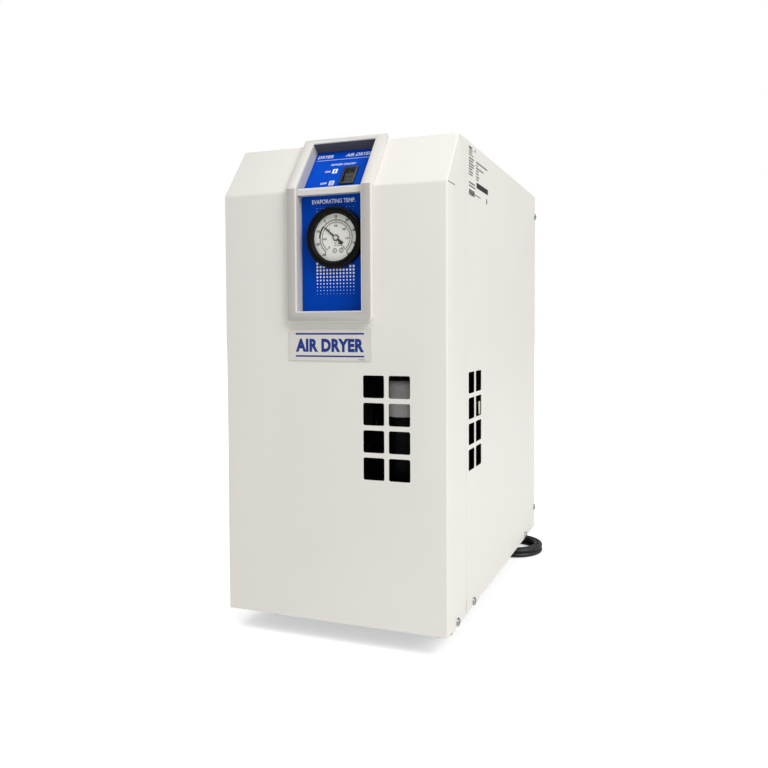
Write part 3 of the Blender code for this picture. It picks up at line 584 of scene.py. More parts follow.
def eased(thing, width, steps=2, angle=35):
    """Takes the sharpness off every edge of a piece."""
    thing.data.shade_smooth()
    easing = thing.modifiers.new("eased_edges", "BEVEL")
    easing.width = width
    easing.segments = steps
    easing.limit_method = "ANGLE"
    easing.angle_limit = math.radians(angle)
    easing.harden_normals = True


def hood_outline(inset, behind, below):
    sides = [on_front(BOTTOM_Z - below, -inset), at_fold(-inset), at_crest(-inset)]
    return sides + [(SEAM_Y + behind, TOP_Z - inset), (SEAM_Y + behind, BOTTOM_Z - below)]


def ends(edge):
    return [vert.co for vert in edge.verts]


def folded(edge):
    a, b = ends(edge)
    return not (min(a.y, b.y) > SEAM_Y - 1e-4 or max(a.z, b.z) < BOTTOM_Z + 1e-4)


def screw_holes(side):
    holes = []
    for y, z in SCREW_PLACES:
        start = (side * (HALF_WIDTH - 0.008), CABINET_MIDDLE_Y + y, z)
        holes.append(rod(0.0024, start, (side * (HALF_WIDTH + 0.003), CABINET_MIDDLE_Y + y, z), 16))
    return holes


cabinet_paint = finish(
    "cream_powder_coat", (238, 235, 229), 0.42, clouds=0.035, cloud=0.09, grain=0.0011, bump=0.12,
    depth=0.00012, spread=0.1, dust=0.05, Specular_IOR_Level=0.3,
)
# Dark grey for the panels' inner faces and the cut faces of their openings: painted shade for the dark inside
# of the cabinet.
painted_shade_lining = finish(
    "lining_with_painted_shade", (30, 31, 33), 0.85, clouds=0.3, cloud=0.01, grain=0.0012, bump=0.5, dust=0.1
)

hood = drawn_out(hood_outline(0, 0, 0), "X", -HALF_WIDTH, HALF_WIDTH)
rounded(hood, BEND, 4, folded)
hood = fit("front_hood", hood, cabinet_paint, ["front_panel"])
hollow = drawn_out(hood_outline(SHEET, 0.01, 0.01), "X", SHEET - HALF_WIDTH, HALF_WIDTH - SHEET)
# The hood's inner faces take the dark grey of painted shade.
carve(hood, rounded(hollow, BEND - SHEET, 2, folded), painted_shade_lining)
window = [on_front(0.366, -0.015), at_fold(-0.015), on_slope(0.0735, -0.015)]
window += [on_slope(0.0735, 0.02), at_fold(0.02), on_front(0.366, 0.02)]
openings = [drawn_out(window, "X", -0.046, 0.046)]
for x in (0.051, 0.051 + VENT_PITCH):
    for z in VENT_HEIGHTS:
        openings.append(vent(x, z, "Y", FRONT_Y))
flange_seam = [(-0.2085, 0.568), (-0.1940, 0.5475), (-0.2185, 0.5120), (-0.2257, 0.5084)]
for side in (-1, 1):
    near = min(side * (HALF_WIDTH - 0.004), side * (HALF_WIDTH + 0.004))
    far = near + 0.008
    slit_end = (far, FRONT_Y + 0.029, FOLD_Z + SLIT / 2)
    openings.append(block((near, FRONT_Y + 0.003, FOLD_Z - SLIT / 2), slit_end))
    openings.append(block((near, SEAM_Y - 0.0016, BOTTOM_Z - 0.001), (far, SEAM_Y + 0.001, BOTTOM_Z + 0.017)))
    openings += screw_holes(side)
# The cut faces of the vents, slits and screw holes take the dark grey of painted shade.
carve(hood, together(openings), painted_shade_lining)
for low in (-HALF_WIDTH - 0.002, HALF_WIDTH - 0.0004):
    for a, b in zip(flange_seam, flange_seam[1:]):
        a, b = Vector(a), Vector(b)
        out = (b - a).orthogonal().normalized() * FLANGE_SEAM / 2
        on = (b - a).normalized() * 0.0001
        outline = [tuple(corner) for corner in (a - on + out, b + on + out, b + on - out, a - on - out)]
        carve(hood, drawn_out(outline, "X", low, low + 0.0024))
eased(hood, EASED_SHEET)


# ---------------------------------------------------------------- Cover
# The cover is the same painted sheet, folded down both sides from the top. It butts against the hood over a
# strip on each side that is coloured dark as painted shade behind the seam, and only its right side has
# vents.

SEAM_GAP = 0.0010
SHADE_STRIP_THICKNESS = 0.0008


def upper_fold(edge):
    a, b = ends(edge)
    return min(a.z, b.z) > TOP_Z - 0.0025 and abs(a.x - b.x) < 1e-5


outline = [(-HALF_WIDTH, BOTTOM_Z), (-HALF_WIDTH, TOP_Z), (HALF_WIDTH, TOP_Z), (HALF_WIDTH, BOTTOM_Z)]
cover = drawn_out(outline, "Y", SEAM_Y + SEAM_GAP, REAR_Y)
cover = rounded(cover, BEND, 4, upper_fold)
cover = fit("cabinet_cover", cover, cabinet_paint, ["cover_panel"])
inner = HALF_WIDTH - SHEET
outline = [(-inner, BOTTOM_Z - 0.01), (-inner, TOP_Z - SHEET), (inner, TOP_Z - SHEET)]
outline += [(inner, BOTTOM_Z - 0.01)]
hollow = drawn_out(outline, "Y", SEAM_Y - 0.01, REAR_Y + 0.01)
# The cover's inner faces take the dark grey of painted shade.
carve(cover, rounded(hollow, BEND - SHEET, 2, upper_fold), painted_shade_lining)
carve(cover, together(screw_holes(-1) + screw_holes(1)))
openings = []
for y in (-0.1475, -0.1158):
    for z in VENT_HEIGHTS:
        openings.append(vent(CABINET_MIDDLE_Y + y, z, "X", HALF_WIDTH))
# The side vents' cut faces take the dark grey of painted shade.
carve(cover, together(openings), painted_shade_lining)
eased(cover, EASED_SHEET)
# Dark strips behind the seam on each side: painted shade, so the seam reads as a dark line.
shade_strips = []
for near in (-inner + 0.0002, inner - 0.0002 - SHADE_STRIP_THICKNESS):
    shade_strips.append(block((near, SEAM_Y - 0.008, 0.060), (near + SHADE_STRIP_THICKNESS, SEAM_Y + 0.0035, 0.500)))
fit("seam_painted_shade_strips", together(shade_strips), painted_shade_lining)


# ---------------------------------------------------------------- Rear panel
# A painted tray of the same sheet, its edges folded forward inside the cover, with sixteen vents for the
# fan and holes for the two air ports, the lead and the drain.

FAN_X, FAN_Z = -0.020, 0.140
PORT_Z = 0.430
PORT_PLACES = {"inlet_port": -0.070, "outlet_port": 0.020}
DRAIN_OUT_X, DRAIN_OUT_Z = 0.100, 0.070

GAP = 0.0003
edge_x = HALF_WIDTH - SHEET - GAP
low = (-edge_x, REAR_Y - 0.015, BOTTOM_Z)
high = (edge_x, REAR_Y, TOP_Z - SHEET - GAP)
tray = rounded(block(low, high), BEND, 4, lambda edge: min(v.co.y for v in edge.verts) > REAR_Y - 1e-4)
rear = fit("rear_tray", tray, cabinet_paint, ["rear_panel"])
hollow_low = (low[0] + SHEET, low[1] - 0.01, low[2] + SHEET)
# The rear tray's inner faces take the dark grey of painted shade.
carve(rear, block(hollow_low, [far - SHEET for far in high]), painted_shade_lining)
openings = screw_holes(-1) + screw_holes(1)
for across in (-1.5, -0.5, 0.5, 1.5):
    for up in (-1.5, -0.5, 0.5, 1.5):
        openings.append(vent(FAN_X + across * VENT_PITCH, FAN_Z + up * VENT_PITCH, "Y", REAR_Y))
holes = [(x, PORT_Z, 0.0175) for x in PORT_PLACES.values()]
for x, z, radius in holes + [(GLAND.x, GLAND.z, 0.0085), (DRAIN_OUT_X, DRAIN_OUT_Z, 0.0068)]:
    openings.append(rod(radius, (x, REAR_Y - CUT_REACH, z), (x, REAR_Y + CUT_REACH, z), 40))
carve(rear, together(openings))
eased(rear, EASED_SHEET)


# ---------------------------------------------------------------- Cabinet screws
# Ten zinc-plated pan-head screws with a cross recess hold the hood, cover and rear panel to the pan and to
# each other.

screw_zinc = finish(
    "screw_zinc", (178, 180, 182), 0.28, clouds=0.3, cloud=0.003, grain=0.0004, bump=0.1, spread=0.2,
    Metallic=1.0,
)


def cross_screw(centre, side):
    """A screw's head and the two arms of its cross, made on the origin, and where the screw goes."""
    profile = [(0, -0.0055), (0.0019, -0.0055), (0.0019, 0.0002), (0.0047, 0.0002), (0.0048, 0.0005)]
    profile += [(0.0046, 0.0013), (0.0038, 0.0021), (0.0026, 0.00255), (0, 0.00275)]
    head = turned(profile, (0, 0, 0), (0, 0, 1), 32)
    arms = []
    for long, wide in ((0.0023, 0.00048), (0.00048, 0.0023)):
        arms.append(block((-long, -wide, 0.0011), (long, wide, 0.004)))
    turn = Vector((0, 0, 1)).rotation_difference(Vector((side, 0, 0))).to_matrix().to_4x4()
    as_tightened = Matrix.Rotation(centre.y * 97 + centre.z * 41, 4, "Z")
    return head, arms, Matrix.Translation(centre) @ turn @ as_tightened


left_places = [SCREW_PLACES[0], SCREW_PLACES[3], SCREW_PLACES[4]]
for side, word, places in ((1, "right", SCREW_PLACES), (-1, "left", left_places)):
    cad_names = {spot: f"screw_{word}_{number}" for number, spot in enumerate(places, 1)}
    for number, spot in enumerate(SCREW_PLACES, 1):
        centre = Vector((side * HALF_WIDTH, CABINET_MIDDLE_Y + spot[0], spot[1]))
        head, arms, stand = cross_screw(centre, side)
        stands_for = [cad_names[spot]] if spot in cad_names else []
        screw = fit(f"cross_screw_{word}_{number}", head, screw_zinc, stands_for)
        for arm in arms:
            carve(screw, arm)
        screw.data.transform(stand)
        screw.data.shade_smooth()
        screw.data.set_sharp_from_angle(angle=math.radians(35))


# ---------------------------------------------------------------- Panel bezel
# One moulding in light grey plastic that straddles the fold. It is a proud frame with sloped outer edges, a
# tray behind it for the two face plates, and a round-fronted crossbar between them. The frame's upright
# faces are a darker grey. The openings' side walls and the bottom faces take that grey as painted shade, and
# the tray's top end wall is darkened as painted shadow.

BEZEL_HALF, BEZEL_BOTTOM, BEZEL_TOP = 0.0515, 0.3611, 0.0785
BEZEL_PROUD = 0.006
OPENING_HALF, OPENING_BOTTOM, OPENING_TOP = 0.039, 0.3737, 0.0715
CROSSBAR_UNDER, CROSSBAR_OVER, CROSSBAR_OUT = 0.5025, 0.002, 0.0002
TRAY_BACK, TRAY_FLOOR = -0.0115, -0.0093
GAUGE_X, GAUGE_Z = 0.0039, 0.455
SWITCH_X, SWITCH_ALONG = 0.013, 0.028
HAIR = 1e-5


def band(bottom, along, back, face):
    """A band that follows the upright face and the slope, between two distances out from them."""
    outer = [on_front(bottom, face), at_fold(face), on_slope(along, face)]
    return outer + [on_slope(along, back), at_fold(back), on_front(bottom, back)]


def slope_patch(low, high, back, face):
    return [on_slope(low, back), on_slope(high, back), on_slope(high, face), on_slope(low, face)]


def out_of_hood(point):
    """How far a point stands out of the hood, from the upright face or the slope."""
    from_fold = point - Vector((0, FRONT_Y, FOLD_Z))
    return max(-from_fold.y, from_fold.dot(OUT_OF_SLOPE))


def up_the_slope(point):
    return (point - Vector((0, FRONT_Y, FOLD_Z))).dot(UP_SLOPE)


def rework(thing, job):
    """Opens a piece's mesh, does a job on it and closes it again."""
    shape = bmesh.new()
    shape.from_mesh(thing.data)
    job(shape)
    shape.to_mesh(thing.data)
    shape.free()


bezel_cream = finish(
    "bezel_light_plastic", (225, 222, 216), 0.38, clouds=0.03, cloud=0.03, grain=0.0005, bump=0.12,
    depth=0.0001,
)
# The moulding's second grey on the upright rim; on the openings' side walls and the bottom it is painted
# shade.
bezel_grey_and_shade = finish(
    "bezel_grey_plastic_and_painted_shade", (194, 190, 185), 0.42, clouds=0.05, cloud=0.02, grain=0.0005, bump=0.12,
    depth=0.0001,
)
# Dark grey for the tray's top end wall: a painted shadow.
bezel_shadow = finish("bezel_end_wall_painted_shadow", (84, 84, 86), 0.6, clouds=0.2, cloud=0.01, grain=0.0005, bump=0.2)

lip = drawn_out(band(BEZEL_BOTTOM, BEZEL_TOP, GAP, BEZEL_PROUD), "X", -BEZEL_HALF, BEZEL_HALF)


def lower_corner(edge):
    a, b = ends(edge)
    return abs(a.y - b.y) > HAIR and abs(a.x - b.x) < HAIR / 10 and max(a.z, b.z) < BEZEL_BOTTOM + HAIR


def on_the_rim(edge):
    return min(map(out_of_hood, ends(edge))) > BEZEL_PROUD - HAIR


def between_sides(edge):
    return max(abs(spot.x) for spot in ends(edge)) < OPENING_HALF + 10 * HAIR


def outer_rim(edge):
    a, b = ends(edge)
    crosses_fold = abs(a.x - b.x) > 0.09 and a.z > FOLD_Z - 0.005 and up_the_slope(a) < 0.02
    return on_the_rim(edge) and not crosses_fold


def opening_rim(edge):
    return on_the_rim(edge) and between_sides(edge)


def crossbar_front(edge):
    a, b = ends(edge)
    if abs(a.x - b.x) < 0.05 or not between_sides(edge) or abs(out_of_hood(a) - CROSSBAR_OUT) > HAIR:
        return False
    return a.z > CROSSBAR_UNDER - 10 * HAIR and up_the_slope(a) < 0.0025


rounded(lip, 0.0058, 6, lower_corner)
rounded(lip, 0.0012, 2, outer_rim)
bezel = fit("bezel_frame", lip, [bezel_cream, bezel_grey_and_shade, bezel_shadow], ["panel_bezel"])
opening = band(OPENING_BOTTOM, OPENING_TOP, CROSSBAR_OUT, 0.02)
carve(bezel, drawn_out(opening, "X", -OPENING_HALF, OPENING_HALF))
rework(bezel, lambda shape: rounded(shape, 0.0015, 2, opening_rim))
tray = drawn_out(band(BEZEL_BOTTOM + 0.0038, 0.0731, TRAY_BACK, 0.001), "X", -0.0456, 0.0456)
carve(bezel, tray, operation="UNION")
well_end = (OPENING_HALF, FRONT_Y - TRAY_FLOOR, CROSSBAR_UNDER)
carve(bezel, block((-OPENING_HALF, FRONT_Y - 0.02, OPENING_BOTTOM), well_end))
upper_well = slope_patch(CROSSBAR_OVER, OPENING_TOP, TRAY_FLOOR, 0.02)
carve(bezel, drawn_out(upper_well, "X", -OPENING_HALF, OPENING_HALF))


def gauge_hole():
    return rod(0.0302, (GAUGE_X, FRONT_Y - 0.02, GAUGE_Z), (GAUGE_X, FRONT_Y + 0.03, GAUGE_Z), 48)


def about_switch(long, back, face, wide):
    """A block round the switch's middle, drawn along the slope and across it, between two distances out."""
    patch = slope_patch(SWITCH_ALONG - long, SWITCH_ALONG + long, back, face)
    return drawn_out(patch, "X", SWITCH_X - wide, SWITCH_X + wide)


def switch_hole():
    return about_switch(0.0124, -0.03, 0.03, 0.0082)


carve(bezel, together([gauge_hole(), switch_hole()]))


def colour_bezel(shape):
    """Greys the upright rim as the moulding's second colour, greys the openings' side walls and the bottom
    as painted shade, and darkens the tray's top end as painted shadow.
    """
    for face in shape.faces:
        middle, facing = face.calc_center_median(), face.normal
        at_top = middle.z > FOLD_Z and abs(up_the_slope(middle) - OPENING_TOP) < 5e-4
        if facing.y < -0.99 and out_of_hood(middle) > BEZEL_PROUD - 2e-4:
            face.material_index = 1
        elif at_top and facing.dot(-UP_SLOPE) > 0.95:
            face.material_index = 2
        # The openings' side walls and the bottom faces are greyed as painted shade.
        elif abs(facing.x) > 0.99 and abs(middle.x) < OPENING_HALF + 2e-4:
            face.material_index = 1
        elif abs(facing.z) > 0.9 and middle.z < BEZEL_BOTTOM + 0.004:
            face.material_index = 1


rework(bezel, lambda shape: rounded(shape, 0.0012, 4, crossbar_front))
rework(bezel, colour_bezel)
eased(bezel, 0.0003)


# ---------------------------------------------------------------- Face plates
# Two plates in the tray, faced with glossy blue film that is printed in white from behind. The upper one
# carries the switch and its captions. The lower one has a field of squares that shrink away below the gauge.
# The film is one blue, coloured darker on the lower plate as painted shade and brighter on the upper as
# painted light.

PLATE_FACE = -0.008
PRINT = 0.00003
ROUND = 359.9


def lettering(words, height, slant=0.0, weight=0.0, width=None, gap=1.0):
    """Raised letters on the ground plane, centred on the origin, with a cap height and perhaps a width."""
    text = bpy.data.curves.new("letters", "FONT")
    text.body = words
    text.align_x = "CENTER"
    text.align_y = "CENTER"
    text.size = 1
    text.shear = slant
    text.offset = weight
    text.space_character = gap
    text.resolution_u = 3
    text.extrude = 0.5
    holder = bpy.data.objects.new("letters", text)
    bpy.context.collection.objects.link(holder)
    mesh = bpy.data.meshes.new_from_object(holder.evaluated_get(bpy.context.evaluated_depsgraph_get()))
    bpy.data.objects.remove(holder)
    bpy.data.curves.remove(text)
    shape = bmesh.new()
    shape.from_mesh(mesh)
    bpy.data.meshes.remove(mesh)
    bmesh.ops.remove_doubles(shape, verts=shape.verts, dist=1e-5)
    lows = Vector([min(v.co[i] for v in shape.verts) for i in range(3)])
    highs = Vector([max(v.co[i] for v in shape.verts) for i in range(3)])
    middle = (lows + highs) / 2
    tall = height / (highs.y - lows.y)
    broad = width / (highs.x - lows.x) if width else tall
    bmesh.ops.translate(shape, vec=(-middle.x, -middle.y, 0.5), verts=shape.verts)
    bmesh.ops.scale(shape, vec=(broad, tall, PRINT), verts=shape.verts)
    return shape


def flat_shape(outline, thick=PRINT):
    return drawn_out(outline, "Z", 0, thick)


def bar(left, right, low, high):
    return flat_shape([(left, low), (right, low), (right, high), (left, high)])


def arc_band(inner_radius, outer_radius, start, end, steps):
    """A flat band along an arc, with its angles in degrees clockwise from straight up."""
    points = []
    for radius, turns in ((outer_radius, range(steps + 1)), (inner_radius, range(steps, -1, -1))):
        for step in turns:
            angle = math.radians(start + (end - start) * step / steps)
            points.append((radius * math.sin(angle), radius * math.cos(angle)))
    return flat_shape(points)


def moved(shape, x, y):
    bmesh.ops.translate(shape, vec=(x, y, 0), verts=shape.verts)
    return shape


def stood_up(place, turn=0):
    """Stands a flat shape up at a place, its face to the front or turned round from there, in degrees."""
    upright = Matrix.Rotation(math.radians(90), 4, "X")
    return Matrix.Translation(place) @ Matrix.Rotation(math.radians(turn), 4, "Z") @ upright


def on_upright(x, z, out):
    return stood_up((x, FRONT_Y - out, z))


def laid_on(place, right, up, out):
    """Lays a flat shape at a place, with its own three directions along the ones given."""
    return Matrix.Translation(place) @ Matrix((right, up, out)).transposed().to_4x4()


def printed(name, shapes, stand, skin, body="cabinet"):
    """Lays a set of flat printed shapes on a face as one piece."""
    shape = together(shapes)
    bmesh.ops.transform(shape, matrix=stand, verts=shape.verts)
    return fit(name, shape, skin, body=body)


# One blue film in two copies: the darker is painted shade for the lower plate, the brighter painted light for
# the upper.
film_blue_painted_shade = finish(
    "blue_film_painted_shade_copy", (0, 66, 177), 0.45, clouds=0.12, cloud=0.02, grain=0.0006, bump=0.05, depth=0.0001,
    Specular_IOR_Level=0.05,
)
film_blue_painted_light = finish(
    "blue_film_painted_light_copy", (0, 76, 200), 0.45, clouds=0.05, cloud=0.02, grain=0.0006, bump=0.05, depth=0.0001,
    Specular_IOR_Level=0.03,
)
white_print = finish("white_print", (240, 242, 245), 0.45, clouds=0.08, cloud=0.0015, grain=0.0003, bump=0.1)

PLATE_HALF = OPENING_HALF - GAP
lower_corners = (
    (-PLATE_HALF, FRONT_Y - PLATE_FACE, OPENING_BOTTOM + GAP),
    (PLATE_HALF, FRONT_Y - TRAY_FLOOR - GAP, CROSSBAR_UNDER - GAP),
)
lower = rounded(block(*lower_corners), 0.0001, 1)
lower_plate = fit("lower_plate", lower, film_blue_painted_shade, ["lower_face_plate"])
carve(lower_plate, gauge_hole())
upper_patch = slope_patch(CROSSBAR_OVER + GAP, OPENING_TOP - GAP, TRAY_FLOOR + GAP, PLATE_FACE)
upper = rounded(drawn_out(upper_patch, "X", -PLATE_HALF, PLATE_HALF), 0.0001, 1)
upper_plate = fit("upper_plate", upper, film_blue_painted_light, ["upper_face_plate"])
carve(upper_plate, switch_hole())

captions = [
    moved(lettering("DRYER", 0.0050, slant=0.25, weight=0.02, width=0.0200), -0.0262, 0.0630),
    moved(lettering("AIR DRYER", 0.0052, slant=0.25, weight=0.02, width=0.0325), 0.0158, 0.0634),
    bar(-0.0360, 0.0318, 0.0567, 0.0572),
    moved(lettering("POWER ON/OFF", 0.0032, slant=0.2, weight=0.012, width=0.0310), 0.0006, 0.0482),
    moved(lettering("ON", 0.0032, weight=0.02, width=0.0066), -0.0162, 0.0373),
    moved(lettering("OFF", 0.0032, weight=0.02, width=0.0082), -0.0160, 0.0180),
]
BOX_HALF, BOX_RAIL = 0.0036, 0.0012
for left, right, middle, wall in ((-0.0102, -0.0040, 0.0374, 0.0024), (-0.0092, -0.0030, 0.0180, 0.0011)):
    low, high = middle - BOX_HALF, middle + BOX_HALF
    captions += [
        bar(left, left + wall, low, high),
        bar(right - wall, right, low, high),
        bar(left + wall, right - wall, low, low + BOX_RAIL),
        bar(left + wall, right - wall, high - BOX_RAIL, high),
    ]
captions.append(moved(arc_band(0.0008, 0.0016, 0, ROUND, 24), -0.0061, 0.0180))
slope_foot = (0, *on_slope(0, PLATE_FACE))
on_upper_plate = laid_on(slope_foot, Vector((1, 0, 0)), UP_SLOPE, OUT_OF_SLOPE)
printed("switch_captions", captions, on_upper_plate, white_print)

caption = lettering("EVAPORATING TEMP.", 0.0047, weight=0.012, width=0.0530)
printed("gauge_caption", [caption], on_upright(0.0008, 0.4957, PLATE_FACE), white_print)
SQUARES_LEFT, SQUARES_STEP = -0.0198, 0.00405
squares = []


def clear_of_gauge(x, z, clear):
    return (x - GAUGE_X) ** 2 + (z - GAUGE_Z) ** 2 > clear**2


for row in range(10):
    z = 0.4270 - 0.00376 * row
    half = 0.00130 * (1 - (row / 10.6) ** 1.4)
    for column in range(12):
        x = SQUARES_LEFT + SQUARES_STEP * column
        if clear_of_gauge(x, z, 0.0350):
            squares.append(flat_shape(round_square(x, z, 2 * half, 0.5 * half, 2)))
for row in range(4):
    z = 0.4885 - 0.0034 * row
    half = 0.00030 * (1 - row / 5)
    for column in range(12):
        x = SQUARES_LEFT + SQUARES_STEP * column
        if clear_of_gauge(x, z, 0.0355) and abs(column - 5.5) > 1:
            squares.append(bar(x - half, x + half, z - half, z + half))
printed("square_field", squares, on_upright(0, 0, PLATE_FACE), white_print)


# ---------------------------------------------------------------- Gauge
# A panel-mounted gauge with a black snap-on ring and a flat clear window. Its white dial is printed in
# black with a temperature scale outside and a pressure scale inside. The black pointer turns on a white-
# capped pin.

DIAL_FACE = -0.0076
DIAL_BACK = -0.0082
gauge_black = finish(
    "gauge_black_plastic", (7, 7, 8), 0.42, clouds=0.3, cloud=0.006, grain=0.0005, bump=0.15, depth=0.0001,
    Specular_IOR_Level=0.14,
)
dial_white = finish("dial_enamel", (252, 250, 244), 0.6, clouds=0.03, cloud=0.01, grain=0.0004, bump=0.05)
dial_ink = finish("dial_ink", (8, 8, 9), 0.6, clouds=0.3, cloud=0.001, grain=0.0003, bump=0.1)
pointer_black = finish("pointer_black", (12, 12, 13), 0.45, clouds=0.2, cloud=0.003, grain=0.0003, bump=0.1)
pin_white = finish("pin_white", (225, 224, 220), 0.3, clouds=0.1, cloud=0.002, grain=0.0003, bump=0.05)
window_clear = bpy.data.materials.new("clear_window")
window_clear.use_nodes = True
nodes, links = window_clear.node_tree.nodes, window_clear.node_tree.links
glass = nodes["Principled BSDF"]
fill(glass, {"Base Color": (0.98, 0.985, 0.98, 1), "Transmission Weight": 1.0, "IOR": 1.46})
place = new_node(nodes, "TexCoord")
smears = new_node(nodes, "TexNoise", {"Scale": 90})
smear_range = new_node(nodes, "MapRange", {"To Min": 0.0, "To Max": 0.02})
let_through = new_node(nodes, "BsdfTransparent")
seen = new_node(nodes, "LightPath")
either = new_node(nodes, "Math", operation="MAXIMUM")
pick = new_node(nodes, "MixShader")
join(
    links,
    (place.outputs["Object"], smears.inputs["Vector"]),
    (smears.outputs["Fac"], smear_range.inputs["Value"]),
    (smear_range.outputs["Result"], glass.inputs["Roughness"]),
    (seen.outputs["Is Shadow Ray"], either.inputs[0]),
    (seen.outputs["Is Diffuse Ray"], either.inputs[1]),
    (either.outputs["Value"], pick.inputs["Fac"]),
    (glass.outputs["BSDF"], pick.inputs[1]),
    (let_through.outputs["BSDF"], pick.inputs[2]),
    (pick.outputs["Shader"], nodes["Material Output"].inputs["Surface"]),
)


def about_gauge(profile, steps, closed=False):
    """A profile of (radius, distance out of the hood), turned round the gauge's middle."""
    return turned(profile, (GAUGE_X, FRONT_Y, GAUGE_Z), (0, -1, 0), steps, closed)


profile = [(0, -0.038), (0.0290, -0.038), (0.0295, -0.0375), (0.0295, PLATE_FACE + GAP)]
profile += [(0.0344, PLATE_FACE + GAP), (0.0344, -0.0032), (0.0342, -0.0020), (0.0336, -0.0010)]
profile += [(0.0327, -0.0003), (0.0314, 0), (0.0300, 0), (0.0287, -0.0003), (0.0276, -0.0010)]
profile += [(0.0267, -0.0019), (0.0262, -0.0021), (0.0271, -0.00215), (0.0271, -0.0085), (0, -0.0085)]
fit("gauge_ring", about_gauge(profile, 96), gauge_black, ["gauge_case"])
profile = [(0.0012, DIAL_BACK), (0.0268, DIAL_BACK), (0.0268, DIAL_FACE), (0.0012, DIAL_FACE)]
dial = about_gauge(profile, 64, closed=True)
fit("gauge_face", dial, dial_white, ["gauge_dial"])

SCALE_END = 141.0
marks = [
    arc_band(0.0190, 0.0195, -SCALE_END, SCALE_END, 96),
    arc_band(0.0170, 0.0175, -SCALE_END, SCALE_END, 96),
    arc_band(0.0194, 0.0209, -90, -50, 20),
]


def on_scale(step, steps):
    """The angle of a step of a scale, in degrees clockwise from straight up."""
    return -SCALE_END + 2 * SCALE_END * step / steps


def tick(angle, near, far, wide):
    shape = bar(-wide / 2, wide / 2, near, far)
    turn = Matrix.Rotation(-math.radians(angle), 3, "Z")
    bmesh.ops.rotate(shape, cent=(0, 0, 0), matrix=turn, verts=shape.verts)
    return shape


def numbers_round(words, height, radius):
    """The numbers of a scale, on a circle."""
    numbers = []
    for step, word in enumerate(words):
        angle = math.radians(on_scale(step, len(words) - 1))
        number = lettering(word, height, weight=0.045)
        numbers.append(moved(number, radius * math.sin(angle), radius * math.cos(angle)))
    return numbers


for step in range(81):
    far = 0.0217 if step % 10 == 0 else 0.0211 if step % 5 == 0 else 0.0207
    marks.append(tick(on_scale(step, 80), 0.0193, far, 0.00075 if step % 10 == 0 else 0.00048))
for step in range(61):
    near = 0.0155 if step % 10 == 0 else 0.0162
    marks.append(tick(on_scale(step, 60), near, 0.0173, 0.00065 if step % 10 == 0 else 0.00044))
marks += numbers_round(["-30", "-20", "-10", "0", "10", "20", "30", "40", "50"], 0.0029, 0.0236)
marks += numbers_round(["0", "0.2", "0.4", "0.6", "0.8", "1.0", "1.2"], 0.0026, 0.0134)
marks.append(moved(lettering("°C  MPa", 0.0021, weight=0.05, width=0.0092), 0.0024, -0.0064))
marks.append(bar(-0.0026, 0.0074, -0.0090, -0.0085))
for x, letter in ((-0.0017, "F"), (0.0063, "C")):
    marks.append(moved(arc_band(0.0020, 0.0027, 0, ROUND, 32), x, -0.0141))
    marks.append(moved(lettering(letter, 0.0022, weight=0.05), x, -0.0141))
printed("dial_scale", marks, on_upright(GAUGE_X, GAUGE_Z, DIAL_FACE), dial_ink)

needle = [(-0.0009, 0), (0.0009, 0), (0.00075, 0.010), (0.0005, 0.0150), (0.0003, 0.0192), (-0.0003, 0.0192)]
needle += [(-0.0005, 0.0150), (-0.00075, 0.010)]
tail = [(-0.0009, 0), (-0.0012, -0.006), (-0.0017, -0.0080), (-0.0017, -0.0108), (0.0017, -0.0108)]
tail += [(0.0017, -0.0080), (0.0012, -0.006), (0.0009, 0)]
at_rest = Matrix.Rotation(math.radians(50), 4, "Z")
parts = [flat_shape(needle, 0.00035), flat_shape(tail, 0.00035)]
for part in parts:
    bmesh.ops.transform(part, matrix=on_upright(GAUGE_X, GAUGE_Z, -0.0069) @ at_rest, verts=part.verts)
profile = [(0, -0.0082), (0.0007, -0.0082), (0.0007, -0.0074), (0.0034, -0.0073), (0.0036, -0.0070)]
profile += [(0.0035, -0.0067)]
parts.append(about_gauge(profile + [(0, -0.0066)], 32))
fit("dial_pointer", together(parts), pointer_black, ["gauge_pointer"], body="pointer")
profile = [(0, -0.0067), (0.0024, -0.0067), (0.0024, -0.0062), (0.0021, -0.0059), (0.0005, -0.0058)]
profile += [(0, -0.0060)]
fit("pointer_pin", about_gauge(profile, 24), pin_white, body="pointer")
profile = [(0, -0.0031), (0.0267, -0.0031), (0.0268, -0.0030), (0.0268, -0.0023), (0.0267, -0.0022)]
profile += [(0, -0.0022)]
fit("gauge_window", about_gauge(profile, 64), window_clear, ["gauge_lens"])


# ---------------------------------------------------------------- Power switch
# A black snap-in rocker switch. Its rocker is moulded with two hollowed faces that meet in a ridge over the
# pivot, and carries the signs I and O in dull grey.

switch_black = finish(
    "switch_black_plastic", (19, 19, 20), 0.33, clouds=0.3, cloud=0.004, grain=0.0004, bump=0.2,
    depth=0.0001, dust=0.1,
)


def proud(edge):
    return min(map(out_of_hood, ends(edge))) > -0.0063


flange = rounded(about_switch(0.0139, PLATE_FACE + GAP, -0.0062, 0.0092), 0.0006, 3, proud)
housing = fit("switch_body", flange, switch_black, ["switch_housing"])
carve(housing, about_switch(0.012, -0.026, -0.007, 0.0078), operation="UNION")
carve(housing, about_switch(0.0113, -0.0142, 0, 0.0064))
eased(housing, 0.00015)

